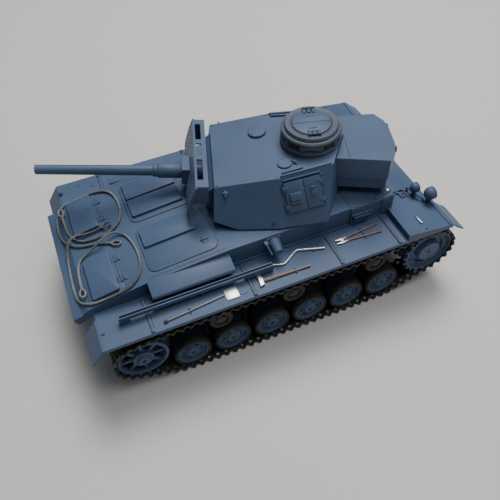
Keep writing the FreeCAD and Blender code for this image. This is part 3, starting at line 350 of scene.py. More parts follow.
class Sketch:
    """A mesh in millimetres that is being put together, with one material index per shape."""

    def __init__(self, matrix: Matrix | None = None) -> None:
        """Starts an empty mesh whose shapes are placed by matrix."""
        self.bm = bmesh.new()
        self.matrix = matrix or Matrix.Identity(4)

    def _take(self, part: bmesh.types.BMesh, index: int, smooth: bool) -> None:
        """Moves a finished shape into this mesh.

        Args:
            part: the shape, freed here.
            index: material index.
            smooth: smooth shading.
        """
        bmesh.ops.recalc_face_normals(part, faces=part.faces[:])
        for face in part.faces:
            face.material_index = index
            face.smooth = smooth
        bmesh.ops.transform(part, matrix=self.matrix, verts=part.verts[:])
        mesh = bpy.data.meshes.new("shape")
        part.to_mesh(mesh)
        part.free()
        self.bm.from_mesh(mesh)
        bpy.data.meshes.remove(mesh)

    @staticmethod
    def _soften(part: bmesh.types.BMesh, width: float, segments: int, least: float = 0.5) -> None:
        """Bevels every edge sharper than least radians."""
        if width <= 0:
            return
        edges = [e for e in part.edges if len(e.link_faces) == 2 and e.calc_face_angle(0.0) > least]
        bmesh.ops.bevel(part, geom=edges, offset=width, offset_type="OFFSET", segments=segments,
                        profile=0.5, affect="EDGES", clamp_overlap=True, material=-1)

    def box(self, low: Point, high: Point, bevel: float = 0.15, index: int = 0) -> None:
        """Adds a box between two opposite corners.

        Args:
            low: one corner.
            high: the other corner.
            bevel: edge width.
            index: material index.
        """
        part = bmesh.new()
        size = [abs(b - a) for a, b in zip(low, high)]
        middle = Vector([(a + b) / 2 for a, b in zip(low, high)])
        place = Matrix.Translation(middle) @ Matrix.Diagonal((*size, 1.0))
        bmesh.ops.create_cube(part, size=1.0, matrix=place)
        self._soften(part, min(bevel, min(size) * 0.3), 2)
        self._take(part, index, False)

    def rod(self, start: Point, end: Point, radius: float, far_radius: float | None = None,
            sides: int = 20, bevel: float = 0.12, index: int = 0) -> None:
        """Adds a cylinder or cone frustum between two points.

        Args:
            start: middle of the first face.
            end: middle of the last face.
            radius: radius at the start.
            far_radius: radius at the end, the same if None.
            sides: number of sides.
            bevel: width of the rounded rims.
            index: material index.
        """
        a, b = Vector(start), Vector(end)
        part = bmesh.new()
        place = Matrix.Translation((a + b) / 2) @ (b - a).to_track_quat("Z", "Y").to_matrix().to_4x4()
        far = radius if far_radius is None else far_radius
        bmesh.ops.create_cone(part, cap_ends=True, segments=sides, radius1=radius, radius2=far,
                              depth=(b - a).length, matrix=place)
        self._soften(part, min(bevel, (b - a).length * 0.3, min(radius, far) * 0.3), 2, 0.9)
        self._take(part, index, True)

    def bolt(self, at: Point, out: Point, radius: float = 0.55, height: float = 0.4, sides: int = 8,
             index: int = 0) -> None:
        """Adds a small domed fastener head standing on a surface.

        Args:
            at: point on the surface.
            out: surface normal.
            radius: head radius.
            height: head height.
            sides: number of sides.
            index: material index.
        """
        direction = Vector(out).normalized()
        base = Vector(at)
        self.rod(base - direction * 0.1, base + direction * height, radius, radius * 0.72, sides, 0.0, index)

    def bolt_circle(self, centre: Point, count: int, reach: float, radius: float, height: float,
                    sides: int = 6, phase: float = 0.0, index: int = 0) -> None:
        """Adds a circle of fastener heads on an upright face that looks along -Y.

        Args:
            centre: middle of the circle.
            count: number of heads.
            reach: radius of the circle.
            radius: head radius.
            height: head height.
            sides: sides of a head.
            phase: angle of the first head.
            index: material index.
        """
        for step in range(count):
            angle = math.tau * step / count + phase
            at = (centre[0] + reach * math.cos(angle), centre[1], centre[2] + reach * math.sin(angle))
            self.bolt(at, (0, -1, 0), radius, height, sides, index)

    def lathe(self, profile: Sequence[tuple[float, float]], centre: Point, axis: Point, sides: int = 48,
              index: int = 0) -> None:
        """Adds a shape turned about an axis.

        Args:
            profile: (distance along the axis, radius) pairs.
            centre: point that distances start from.
            axis: direction of the axis.
            sides: number of steps.
            index: material index.
        """
        part = bmesh.new()
        verts = [part.verts.new((radius, 0.0, along)) for along, radius in profile]
        edges = [part.edges.new(pair) for pair in zip(verts, verts[1:])]
        bmesh.ops.spin(part, geom=verts + edges, cent=(0, 0, 0), axis=(0, 0, 1), dvec=(0, 0, 0),
                       angle=math.tau, steps=sides, use_merge=True)
        bmesh.ops.remove_doubles(part, verts=part.verts[:], dist=1e-4)
        place = Matrix.Translation(Vector(centre)) @ Vector(axis).to_track_quat("Z", "Y").to_matrix().to_4x4()
        bmesh.ops.transform(part, matrix=place, verts=part.verts[:])
        self._take(part, index, True)

    def prism(self, outline: Sequence[Point], shift: Point, bevel: float = 0.15, index: int = 0,
              segments: int = 2) -> None:
        """Adds a flat outline carried along a vector.

        Args:
            outline: corner points in order.
            shift: extrusion vector.
            bevel: edge width.
            index: material index.
            segments: bevel segments.
        """
        part = bmesh.new()
        face = part.faces.new([part.verts.new(tuple(p)) for p in outline])
        grown = bmesh.ops.extrude_face_region(part, geom=[face])
        moved = [g for g in grown["geom"] if isinstance(g, bmesh.types.BMVert)]
        bmesh.ops.translate(part, vec=Vector(shift), verts=moved)
        self._soften(part, bevel, segments)
        self._take(part, index, False)

    def tube(self, points: Sequence[Point], radius: float, sides: int = 10, index: int = 0,
             closed: bool = False) -> None:
        """Adds a round tube along points.

        Args:
            points: centre line.
            radius: tube radius.
            sides: sides of the section.
            index: material index.
            closed: joins the last section to the first.
        """
        line = [Vector(p) for p in points]
        part = bmesh.new()
        count = len(line)
        rings = []
        across = None
        for k, here in enumerate(line):
            before = line[k - 1] if k or closed else here
            after = line[(k + 1) % count] if k < count - 1 or closed else here
            along = (after - before).normalized()
            if across is None:
                across = along.orthogonal().normalized()
            across = (across - along * across.dot(along)).normalized()
            other = along.cross(across)
            ring = []
            for step in range(sides):
                angle = math.tau * step / sides
                out = across * math.cos(angle) + other * math.sin(angle)
                ring.append(part.verts.new(here + out * radius))
            rings.append(ring)
        pairs = list(zip(rings, rings[1:]))
        if closed:
            pairs.append((rings[-1], rings[0]))
        for low, high in pairs:
            for step in range(sides):
                following = (step + 1) % sides
                part.faces.new((low[step], low[following], high[following], high[step]))
        if not closed:
            part.faces.new(rings[0])
            part.faces.new(rings[-1])
        self._take(part, index, True)

    def flip_side(self) -> None:
        """Puts the whole mesh on the other side of the hull."""
        bmesh.ops.scale(self.bm, vec=(1, -1, 1), verts=self.bm.verts[:])
        bmesh.ops.reverse_faces(self.bm, faces=self.bm.faces[:])


class Maker:
    """Turns sketches into objects of the frame and keeps count."""

    def __init__(self, frame: dict, paints: Paints) -> None:
        """Keeps the frame and the paints."""
        self.frame = frame
        self.paints = paints
        self.made: list[bpy.types.Object] = []

    def finish(self, sketch: Sketch, name: str, body: str, slot: Slot = Slot.HULL,
               finishes: Sequence[Finish] = (PAINT, SEAM_AND_SHADE), replaces: Sequence[str] = ()) -> bpy.types.Object:
        """Makes the object of a sketch.

        Args:
            sketch: the mesh in millimetres.
            name: object name.
            body: CAD body it rides on.
            slot: record slot of the piece, not used.
            finishes: finishes by material index.
            replaces: CAD nodes it stands for.

        Returns:
            The new object.
        """
        bmesh.ops.scale(sketch.bm, vec=(MM, MM, MM), verts=sketch.bm.verts[:])
        mesh = bpy.data.meshes.new(name)
        sketch.bm.to_mesh(mesh)
        sketch.bm.free()
        mesh.set_sharp_from_angle(angle=math.radians(35))
        return self._place(mesh, name, body, finishes, replaces)

    def _place(self, mesh: bpy.types.Mesh, name: str, body: str, finishes: Sequence[Finish],
               replaces: Sequence[str]) -> bpy.types.Object:
        """Links a mesh as an object, with its finishes and its body."""
        for finish in finishes:
            mesh.materials.append(self.paints.get(finish))
        piece = bpy.data.objects.new(name, mesh)
        bpy.context.scene.collection.objects.link(piece)
        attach(piece, body)
        if replaces:
            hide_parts(*replaces)
        self.made.append(piece)
        LOG.info("%s rides on %s", name, body)
        return piece

    def softened(self, node: str, body: str, width: float,
                 finish: Finish = PAINT) -> bpy.types.Object:
        """Copies a CAD node's mesh, rounds its edges and lets the copy stand for the node.

        Args:
            node: CAD node.
            body: its body.
            width: edge width in millimetres.
            finish: its finish.

        Returns:
            The new object.
        """
        source = self.frame["nodes"][node]
        part = bmesh.new()
        part.from_mesh(source.data)
        bmesh.ops.remove_doubles(part, verts=part.verts[:], dist=2e-6)
        bmesh.ops.dissolve_limit(part, angle_limit=math.radians(0.5), verts=part.verts[:], edges=part.edges[:],
                                 delimit={"NORMAL"})
        mesh = bpy.data.meshes.new("soft_" + node)
        part.to_mesh(mesh)
        part.free()
        mesh.materials.clear()
        mesh.polygons.foreach_set("material_index", [0] * len(mesh.polygons))
        piece = self._place(mesh, "soft_" + node, body, [finish], [node])
        bevel = piece.modifiers.new("edges", "BEVEL")
        bevel.width = width * MM
        bevel.segments = 2
        bevel.limit_method = "ANGLE"
        bevel.angle_limit = math.radians(24)
        mesh.polygons.foreach_set("use_smooth", [True] * len(mesh.polygons))
        mesh.set_sharp_from_angle(angle=math.radians(30))
        weights = piece.modifiers.new("normals", "WEIGHTED_NORMAL")
        weights.keep_sharp = True
        return piece


# ---------------------------------------------------------------- running gear
@dataclass
class RunningGear:
    """Sizes shared by the wheels, arms and tracks of both sides."""

    track_y: float = -79.0
    out_y: float = -88.5
    in_y: float = -69.5
    tyre_width: float = 7.0
    wheel_r: float = 15.8
    wheel_x: float = 91.4
    wheel_pitch: float = 35.14
    wheel_z: float = 18.9
    roller_x: tuple[float, ...] = (80.7, 5.1, -57.6)
    roller_z: float = 51.0
    sprocket: tuple[float, float] = (134.3, 41.3)
    idler: tuple[float, float] = (-123.2, 37.1)
    tooth_count: int = 20
    tooth_angle: float = 0.19

    def build(self, maker: Maker) -> None:
        """Builds both sides."""
        for side, name in ((-1, "right"), (1, "left")):
            for index in range(6):
                self._road_wheel(maker, name, side, index)
                arm = f"{name}_swing_arm_{index + 1}"
                maker.softened(arm, arm, 0.4, IRON)
            for number, x in enumerate(self.roller_x, 1):
                self._roller(maker, name, side, number, x)
            self._sprocket(maker, name, side)
            self._idler(maker, name, side)

    def _done(self, maker: Maker, sketch: Sketch, node: str, side: int, slot: Slot = Slot.HULL,
              finishes: Sequence[Finish] = (PAINT, SEAM_AND_SHADE)) -> None:
        """Puts a right-hand sketch on its side and finishes it."""
        if side > 0:
            sketch.flip_side()
        maker.finish(sketch, "look_" + node, node, slot, finishes, [node])

    def _tyres(self, sketch: Sketch, x: float, z: float, outer: float, inner: float) -> None:
        """Adds a wheel's two tyres, with stepped side walls and slightly crowned treads."""
        w = self.tyre_width / 2
        profile = [(-w + 0.5, inner), (-w + 0.1, inner + 0.35), (-w + 0.1, inner + 1.1), (-w, inner + 1.4),
                   (-w, outer - 0.9), (-w + 0.25, outer - 0.3), (-w + 0.8, outer), (w - 0.8, outer),
                   (w - 0.25, outer - 0.3), (w, outer - 0.9), (w, inner + 1.4), (w - 0.1, inner + 0.35),
                   (w - 0.5, inner)]
        for y in (self.out_y + w, self.in_y - w):
            sketch.lathe(profile, (x, y, z), (0, -1, 0), 56, 1)

    def _road_wheel(self, maker: Maker, name: str, side: int, index: int) -> None:
        """Builds one twin road wheel."""
        x, z = self.wheel_x - index * self.wheel_pitch, self.wheel_z
        sketch = Sketch()
        self._tyres(sketch, x, z, self.wheel_r, 13.1)
        # Distances run outwards from the wheel's outer face.
        dish = [(-6.4, 13.3), (-0.1, 13.3), (0.15, 13.0), (0.15, 12.3), (-0.2, 11.9), (-1.8, 11.5), (-2.6, 10.9),
                (-2.6, 8.5), (-1.9, 8.2), (-1.6, 6.4), (-1.5, 5.9), (-0.9, 5.5), (0.1, 5.2), (0.5, 4.8),
                (0.5, 3.0), (0.2, 2.7), (0.2, 1.2), (0.55, 1.0), (0.55, 0.0)]
        sketch.lathe([(a - 0.6, r) for a, r in dish], (x, self.out_y, z), (0, -1, 0), 48, 0)
        inner = [(-6.2, 0.0), (-6.2, 13.3), (-0.3, 13.3), (-0.3, 12.2), (-2.6, 11.0), (-2.6, 5.0), (0.8, 4.6),
                 (0.8, 0.0)]
        sketch.lathe([(a - 0.3, r) for a, r in inner], (x, self.in_y, z), (0, 1, 0), 40, 0)
        sketch.rod((x, self.out_y + 5, z), (x, self.in_y - 5, z), 4.6)
        sketch.bolt_circle((x, self.out_y + 0.1, z), 6, 3.9, 0.42, 0.35, phase=0.3)
        # Six near-black curved pads on the dish: painted shade for its slots.
        for step in range(6):
            self._arc(sketch, x, z, math.tau * step / 6, 6.6, 7.9, self.out_y + 2.15)
        sketch.rod((x, self.out_y - 0.05, z), (x, self.out_y + 1.0, z), 1.5, bevel=0.0, index=2)
        sketch.bolt_circle((x, self.out_y + 3.2, z), 12, 9.7, 0.45, 0.5)
        self._done(maker, sketch, f"{name}_road_wheel_{index + 1}", side, Slot.WHEEL, [PAINT, TYRE, SEAM_AND_SHADE])

    @staticmethod
    def _arc(sketch: Sketch, x: float, z: float, middle: float, inner: float, outer: float, y: float) -> None:
        """Adds one near-black curved pad on a wheel's dish, painted shade that stands for a slot, its middle at an
        angle.
        """
        start, end = middle - math.radians(16), middle + math.radians(16)
        outline = arc(outer, start, end, 4) + arc(inner, end, start, 4)
        sketch.prism([(x + px, y, z + pz) for px, pz, _ in outline], (0, 0.8, 0), 0.0, 2)

    def _roller(self, maker: Maker, name: str, side: int, number: int, x: float) -> None:
        """Builds one return roller."""
        z = self.roller_z
        sketch = Sketch()
        self._tyres(sketch, x, z, 9.7, 7.0)
        dish = [(-6.5, 7.2), (-0.2, 7.2), (-0.2, 6.6), (-1.8, 6.1), (-1.8, 4.4), (-0.7, 4.0), (-0.4, 3.7),
                (-0.4, 1.6), (-0.1, 1.4), (-0.1, 0.0)]
        sketch.lathe(dish, (x, self.out_y, z), (0, -1, 0), 36, 0)
        sketch.lathe(dish, (x, self.in_y, z), (0, 1, 0), 36, 0)
        sketch.rod((x, self.out_y + 5, z), (x, self.in_y - 5, z), 3.8)
        sketch.rod((x, self.in_y, z), (x, -56.0, z), 2.0)
        sketch.bolt_circle((x, self.out_y + 1.8, z), 6, 5.2, 0.4, 0.35)
        self._done(maker, sketch, f"{name}_return_roller_{number}", side, Slot.HULL, [IRON, TYRE])

    def _sprocket(self, maker: Maker, name: str, side: int) -> None:
        """Builds one drive sprocket with two toothed rings."""
        x, z = self.sprocket
        sketch = Sketch()
        root, tip = 22.2, 25.1
        for y0 in (self.track_y - 10.0, self.track_y + 7.0):
            ring = [(0.0, 20.8), (0.0, root), (-3.0, root), (-3.0, 20.8), (0.0, 20.8)]
            sketch.lathe(ring, (x, y0, z), (0, -1, 0), 60, 0)
            for step in range(self.tooth_count):
                middle = self.tooth_angle / 57.3 + math.tau * step / self.tooth_count
                outline = []
                for radius, offset in ((root - 0.4, -0.066), (tip - 0.3, -0.03), (tip, -0.018), (tip, 0.018),
                                       (tip - 0.3, 0.03), (root - 0.4, 0.066)):
                    angle = middle + offset
                    outline.append((x + radius * math.cos(angle), y0, z + radius * math.sin(angle)))
                sketch.prism(outline, (0, 3.0, 0), 0.15, 0, 1)
        face_y = self.track_y - 10.0
        web = [(-3.0, 21.2), (-1.6, 21.2), (-1.6, 20.3), (-2.8, 19.8), (-2.8, 16.8), (-2.0, 16.2), (-2.0, 15.5),
               (-4.2, 15.0), (-4.6, 11.2), (-1.4, 10.7), (0.4, 10.2), (0.7, 9.8), (0.7, 8.6), (0.3, 8.2),
               (0.3, 3.0), (0.65, 2.7), (0.65, 0.0)]
        sketch.lathe(web, (x, face_y, z), (0, -1, 0), 60, 0)
        back = [(-5.0, 12.0), (-17.0, 12.0), (-17.0, 21.0), (-19.6, 21.0), (-19.6, 3.0), (-43.0, 3.0), (-43.0, 0.0)]
        sketch.lathe(back, (x, face_y, z), (0, -1, 0), 48, 0)
        # The first circle is eight flat near-black discs: painted shade that stands for the holes in the web.
        for count, reach, out, radius, height, index in (
                (8, 18.3, 2.75, 1.5, 0.15, 1), (12, 13.2, 4.4, 0.5, 0.4, 0), (6, 5.6, -0.3, 0.5, 0.4, 0)):
            sketch.bolt_circle((x, face_y + out, z), count, reach, radius, height, 8, math.pi / count, index)
        sketch.rod((x, face_y - 0.75, z), (x, face_y, z), 1.5, bevel=0.0, index=1)
        self._done(maker, sketch, f"{name}_sprocket", side)

    def _idler(self, maker: Maker, name: str, side: int) -> None:
        """Builds one spoked idler."""
        x, z = self.idler
        sketch = Sketch()
        for y0, sign in ((self.out_y, -1), (self.in_y, 1)):
            rim = [(0.0, 18.1), (0.0, 20.0), (-0.5, 20.6), (-6.5, 20.6), (-7.0, 20.0), (-7.0, 18.1), (-6.0, 17.7),
                   (-1.0, 17.7), (0.0, 18.1)]
            sketch.lathe(rim, (x, y0, z), (0, sign, 0), 60, 0)
            for step in range(8):
                angle = math.tau * step / 8
                along = Vector((math.cos(angle), 0, math.sin(angle)))
                across = Vector((-along.z, 0, along.x))
                centre = Vector((x, y0 - sign * 2.2, z))
                outline = [centre + along * 6.6 + across * 1.9, centre + along * 18.2 + across * 1.0,
                           centre + along * 18.2 - across * 1.0, centre + along * 6.6 - across * 1.9]
                sketch.prism(outline, (0, -sign * 2.2, 0), 0.35, 0, 2)
        hub = [(-12.0, 8.4), (0.2, 8.4), (0.6, 8.0), (0.6, 6.4), (0.1, 6.0), (0.1, 5.2), (1.3, 4.7), (2.2, 4.5),
               (2.4, 4.1), (2.4, 1.6), (2.7, 1.4), (2.7, 0.0)]
        sketch.lathe([(a - 0.3, r) for a, r in hub], (x, self.out_y, z), (0, -1, 0), 40, 0)
        sketch.rod((x, self.out_y + 6, z), (x, self.in_y - 1, z), 6.4)
        sketch.rod((x, self.in_y - 2, z), (x, -56.0, z), 3.0)
        sketch.bolt_circle((x, self.out_y - 0.3, z), 6, 7.2, 0.45, 0.4, phase=math.pi / 6)
        sketch.rod((x, self.out_y - 2.5, z), (x, self.out_y - 1.0, z), 1.7, bevel=0.0, index=1)
        self._done(maker, sketch, f"{name}_idler", side)


@dataclass
class TrackBelt:
    """Endless belt of links laid along the wheels."""

    gear: RunningGear = field(default_factory=RunningGear)
    nominal_pitch: float = 7.5
    seat: float = 1.6
    sprocket_r: float = 23.9717
    support_z: float = 62.3

    def build(self, maker: Maker) -> None:
        """Builds both belts."""
        joints = self._joints()
        for side, name in ((-1, "right"), (1, "left")):
            sketch = Sketch()
            for a, b in zip(joints, joints[1:] + joints[:1]):
                lean = math.atan2(b[1] - a[1], b[0] - a[0])
                middle = ((a[0] + b[0]) / 2, self.gear.track_y, (a[1] + b[1]) / 2)
                sketch.matrix = Matrix.Translation(middle) @ Matrix.Rotation(-lean, 4, "Y")
                self._link(sketch)
            if side > 0:
                sketch.flip_side()
            maker.finish(sketch, f"look_{name}_track", "hull", Slot.TRACK, [TRACK, PIN], [f"{name}_track"])

    @staticmethod
    def _link(sketch: Sketch) -> None:
        """Adds one link about its own centre: two cross bars, pads, knuckles and a guide horn."""
        for low, high in (((-3.2, -10.9, -0.6), (-1.5, 10.9, 0.9)), ((1.5, -10.9, -0.6), (3.2, 10.9, 0.9)),
                          ((-1.5, -6.9, -0.6), (1.5, 6.9, 1.0)), ((3.0, -10.6, -0.8), (4.1, -7.4, 0.8)),
                          ((3.0, 7.4, -0.8), (4.1, 10.6, 0.8)), ((3.0, -2.0, -0.8), (4.1, 2.0, 0.8)),
                          ((-4.1, -6.6, -0.8), (-3.0, -3.0, 0.8)), ((-4.1, 3.0, -0.8), (-3.0, 6.6, 0.8))):
            sketch.box(low, high, 0.0)
        for side in (-1, 1):
            end = ((-3.3, 10.0), (-1.1, 12.5), (1.1, 12.5), (3.3, 10.0))
            sketch.prism([(x, side * y, -1.4) for x, y in end], (0, 0, 2.5), 0.0)
        for x, half in ((-2.3, 10.4), (2.3, 10.4), (0.0, 6.4)):
            sketch.prism([(x - 1.0, -half, -0.5), (x + 1.0, -half, -0.5), (x + 0.2, -half, -1.5),
                          (x - 0.2, -half, -1.5)], (0, 2 * half, 0), 0.0)
        sketch.prism([(-1.7, -1.0, 1.0), (1.7, -1.0, 1.0), (0.8, -0.6, 5.7), (-0.8, -0.6, 5.7)], (0, 1.6, 0), 0.0)
        for y in (-12.5, 12.2):
            sketch.rod((0, y, 0), (0, y + 0.3, 0), 0.7, sides=6, bevel=0.0, index=1)

    def _joints(self) -> list[tuple[float, float]]:
        """Evenly spaced link joints along the belt's pitch line."""
        gear = self.gear
        first = (gear.wheel_x, gear.wheel_z, gear.wheel_r + self.seat)
        last = (gear.wheel_x - 5 * gear.wheel_pitch, gear.wheel_z, gear.wheel_r + self.seat)
        wraps = [(*gear.idler, 20.6 + self.seat), last, first, (*gear.sprocket, self.sprocket_r)]
        pairs = [self._tangent(a, b) for a, b in zip(wraps, wraps[1:])]
        enters = [math.pi / 2] + [self._angle(wraps[i + 1], pairs[i][1]) for i in range(3)]
        leaves = [self._angle(wraps[i], pairs[i][0]) for i in range(3)] + [math.pi / 2 + math.tau]
        points: list[tuple[float, float]] = []
        for circle, enter, leave in zip(wraps, enters, leaves):
            while leave < enter:
                leave += math.tau
            while leave - enter > math.tau:
                leave -= math.tau
            steps = max(2, int((leave - enter) / 0.05))
            bow = arc(circle[2], enter, leave, steps)
            points.extend((circle[0] + x, circle[1] + z) for x, z, _ in bow)
        points.extend((x, self.support_z) for x in gear.roller_x)
        spans = [math.dist(a, b) for a, b in zip(points, points[1:] + points[:1])]
        total = sum(spans)
        count = round(total / self.nominal_pitch)
        joints = []
        for k in range(count):
            want, index = total * k / count, 0
            while want > spans[index]:
                want -= spans[index]
                index += 1
            a, b = points[index], points[(index + 1) % len(points)]
            share = want / spans[index]
            joints.append((a[0] + (b[0] - a[0]) * share, a[1] + (b[1] - a[1]) * share))
        return joints

    @staticmethod
    def _angle(circle: Point, point: Point) -> float:
        """Angle of a point about a circle's centre."""
        return math.atan2(point[1] - circle[1], point[0] - circle[0])

    @staticmethod
    def _tangent(a: Point, b: Point) -> tuple[tuple[float, float], tuple[float, float]]:
        """Outer tangent points of two circles (x, z, r) that the belt wraps."""
        span = math.hypot(b[0] - a[0], b[1] - a[1])
        normal = math.atan2(b[1] - a[1], b[0] - a[0]) - math.acos((a[2] - b[2]) / span)
        nx, nz = math.cos(normal), math.sin(normal)
        return (a[0] + a[2] * nx, a[1] + a[2] * nz), (b[0] + b[2] * nx, b[1] + b[2] * nz)


# ---------------------------------------------------------------- engine deck and hull
@dataclass(frozen=True)
class Deck:
    """Side profile of the engine deck."""

    profile: tuple[tuple[float, float], ...] = (
        (-162.0, 72.8), (-155.0, 74.4), (-150.0, 78.8), (-103.0, 87.4), (-37.0, 93.0))

    def height(self, x: float) -> float:
        """Height of the deck at x."""
        for (x0, z0), (x1, z1) in zip(self.profile, self.profile[1:]):
            if x <= x1:
                return z0 + (z1 - z0) * (x - x0) / (x1 - x0)
        return self.profile[-1][1]

    def normal(self, x: float) -> Vector:
        """Upward normal of the deck at x."""
        return Vector((self.height(x - 1) - self.height(x + 1), 0, 2.0)).normalized()

    def matrix(self, x: float, y: float) -> Matrix:
        """Local frame standing on the deck, +Z along its normal."""
        turn = Vector((0, 0, 1)).rotation_difference(self.normal(x)).to_matrix().to_4x4()
        return Matrix.Translation((x, y, self.height(x))) @ turn


@dataclass
class HullLooks:
    """Hull shell with its seams, hinges, bolts and small fittings."""

    deck: Deck = field(default_factory=Deck)
    fender_top: float = 72.8
    body_half: float = 57.8

    def build(self, maker: Maker) -> None:
        """Builds everything that belongs to the hull's upper side."""
        for node in ("lower_hull", "upper_hull", "mud_flaps"):
            maker.softened(node, "hull", 0.35)
        self._covers(maker)
        self._deck_fittings(maker)
        self._side_fittings(maker)
        self._front_fittings(maker)
        self._headlights(maker)

    def _slab(self, sketch: Sketch, x0: float, x1: float, y0: float, y1: float, low: float, high: float,
              corner: float, bevel: float, index: int = 0) -> None:
        """Adds a plate with rounded corners that follows the deck.

        Args:
            sketch: where it goes.
            x0: rear edge.
            x1: front edge.
            y0: one side edge.
            y1: other side edge.
            low: underside above the deck.
            high: top above the deck.
            corner: corner radius.
            bevel: edge width.
            index: material index.
        """
        outline = []
        y0, y1 = sorted((y0, y1))
        for cx, cy, start in ((x1 - corner, y1 - corner, 0), (x0 + corner, y1 - corner, 90),
                              (x0 + corner, y0 + corner, 180), (x1 - corner, y0 + corner, 270)):
            for step in range(5):
                angle = math.radians(start + 22.5 * step)
                x, y = cx + corner * math.cos(angle), cy + corner * math.sin(angle)
                outline.append((x, y, self._flat(x0, x1, x) + low))
        sketch.prism(outline, (0, 0, high - low), bevel, index)

    def _flat(self, x0: float, x1: float, x: float) -> float:
        """Height on the straight line between the deck's heights at x0 and x1."""
        z0, z1 = self.deck.height(x0), self.deck.height(x1)
        return z0 + (z1 - z0) * (x - x0) / (x1 - x0)

    def _covers(self, maker: Maker) -> None:
        """Builds the four hatches, their air cowls and the intake boxes."""
        sketch = Sketch()
        for side in (-1, 1):
            self._slab(sketch, -147.3, -118.2, side * 12.7, side * 54.9, -0.2, 0.12, 3.0, 0.0, 1)
            self._slab(sketch, -147.0, -118.5, side * 13.0, side * 54.6, -0.3, 0.7, 3.0, 0.25)
            self._slab(sketch, -144.0, -123.0, side * 14.6, side * 54.2, 0.4, 4.2, 1.6, 0.9)
            self._slab(sketch, -98.4, -41.6, side * 3.6, side * 51.4, -0.2, 0.12, 6.0, 0.0, 1)
            self._slab(sketch, -98.0, -42.0, side * 4.0, side * 51.0, -0.3, 0.7, 6.0, 0.3)
            spans = ((9.0, 28.5), (30.0, 49.5)) if side > 0 else ((-26.5, -8.0),)
            for y0, y1 in spans:
                self._slab(sketch, -95.6, -52.0, y0, y1, 0.4, 3.2, 1.6, 0.9)
            inner = side * (self.body_half - 0.1)
            section = ((inner, 78.5), (inner, 88.8), (side * 70.5, 84.8), (side * 71.5, 83.0), (side * 69.0, 78.5))
            sketch.prism([(-103.0, y, z) for y, z in section], (66.0, 0, 0), 0.4)
            # Flat near-black sheet below each intake box: painted shade for its open underside.
            sketch.box((-101.8, side * 60.0, 78.3), (-38.2, side * 68.2, 79.0), 0.0, 1)
        maker.finish(sketch, "look_deck_covers", "hull", replaces=["deck_covers"])

    def _hinge(self, sketch: Sketch, x: float, y: float, across: bool = False) -> None:
        """Adds one strap hinge standing on the deck, its pin along Y or, with across, along X."""
        sketch.matrix = self.deck.matrix(x, y)
        if across:
            sketch.matrix = sketch.matrix @ Matrix.Rotation(math.pi / 2, 4, "Z")
        sketch.box((-3.6, -2.6, 0.0), (-0.8, 2.6, 1.1), 0.2)
        sketch.box((0.8, -2.0, 0.0), (4.0, 2.0, 1.0), 0.2)
        sketch.rod((0, -3.2, 1.3), (0, 3.2, 1.3), 0.85, sides=12)
        for px, py in ((-2.4, -1.4), (-2.4, 1.4), (2.6, 0.0)):
            sketch.bolt((px, py, 1.0), (0, 0, 1), 0.5, 0.5, 6)
        sketch.matrix = Matrix.Identity(4)

    def _deck_fittings(self, maker: Maker) -> None:
        """Builds the hatch hinges, deck plate seams and rivets."""
        sketch = Sketch()
        for side in (-1, 1):
            for y in (23.4, 44.0):
                self._hinge(sketch, -119.2, side * y)
            sketch.matrix = self.deck.matrix(-119.6, side * 33.7)
            sketch.rod((0, -7.0, 0.9), (0, 7.0, 0.9), 0.55, sides=10)
            sketch.matrix = Matrix.Identity(4)
            self._hinge(sketch, -50.2, side * 39.4, True)
            for x in (-112.0, -60.0, -44.0):
                sketch.bolt((x, side * 55.4, self.deck.height(x)), self.deck.normal(x), 0.5, 0.35)
        for y in (54.8, -54.8):
            corners = ((-101.0, y - 0.2), (-38.5, y - 0.2), (-38.5, y + 0.2), (-101.0, y + 0.2))
            sketch.prism([(x, edge, self.deck.height(x) - 0.2) for x, edge in corners], (0, 0, 0.28), 0.0, 1)
        top = self.fender_top
        for x, y in ((-129.8, 84.5), (-118.4, 79.4)):
            sketch.rod((x, y, top - 0.1), (x, y, top + 0.06), 1.0, sides=14, bevel=0, index=1)
        sketch.rod((-146.4, 79.9, 72.7), (-146.4, 79.9, 75.2), 2.4, 1.9)
        sketch.rod((-146.4, 79.9, 75.0), (-146.4, 79.9, 76.4), 1.7, 1.2)
        maker.finish(sketch, "deck_fittings", "hull")

    def _side_fittings(self, maker: Maker) -> None:
        """Builds the aerial trough, aerial pot, visors, wall bolts and plate seams."""
        maker.softened("fender_fittings", "hull", 0.2)
        sketch = Sketch()
        top = self.fender_top
        for side in (-1, 1):
            wall = side * (self.body_half + 1.0)
            out = (0, side, 0)
            for k in range(12):
                x = -31.0 + k * 11.0
                sketch.bolt((x, wall, top + 1.2), out, 0.55, 0.55, 6)
            for x in (68.8, 97.6):
                sketch.box((x, wall - side * 0.6, top + 2.4), (x + 0.5, wall - side * 0.25, 92.2), 0.0, 1)
            near, far = (58.6, 61.65) if side > 0 else (-61.4, -58.6)
            sketch.box((72.6, near, 80.4), (85.4, far, 81.4), 0.0, 1)
            for x in (72.8, 76.9, 81.1, 85.2):
                sketch.bolt((x, side * (self.body_half + 0.9), 87.4), out, 0.55, 0.5, 6)
            for x in (-110.0, -29.0, 45.5, 98.0):
                sketch.box((x - 1.3, side * 88.8, top), (x + 1.3, side * 91.8, top + 1.6), 0.3)
                for rib in (x - 1.4, x + 1.4):
                    sketch.box((rib - 0.25, side * 60.0, top - 0.1), (rib + 0.25, side * 88.4, top + 0.03), 0.0, 1)
        sketch.box((-146.2, -79.4, top - 0.1), (-143.2, -77.7, top + 0.05), 0.0, 1)
        sketch.box((-131.0, -76.2, top), (-124.0, -72.8, top + 4.8), 0.3)
        sketch.box((-31.0, -76.4, top + 0.9), (-8.0, -72.6, top + 4.8), 0.3)
        sketch.lathe([(-0.2, 4.6), (0.35, 4.6), (0.35, 4.2), (-0.2, 4.2)], (-37.0, -82.4, top), (0, 0, 1), 32, 0)
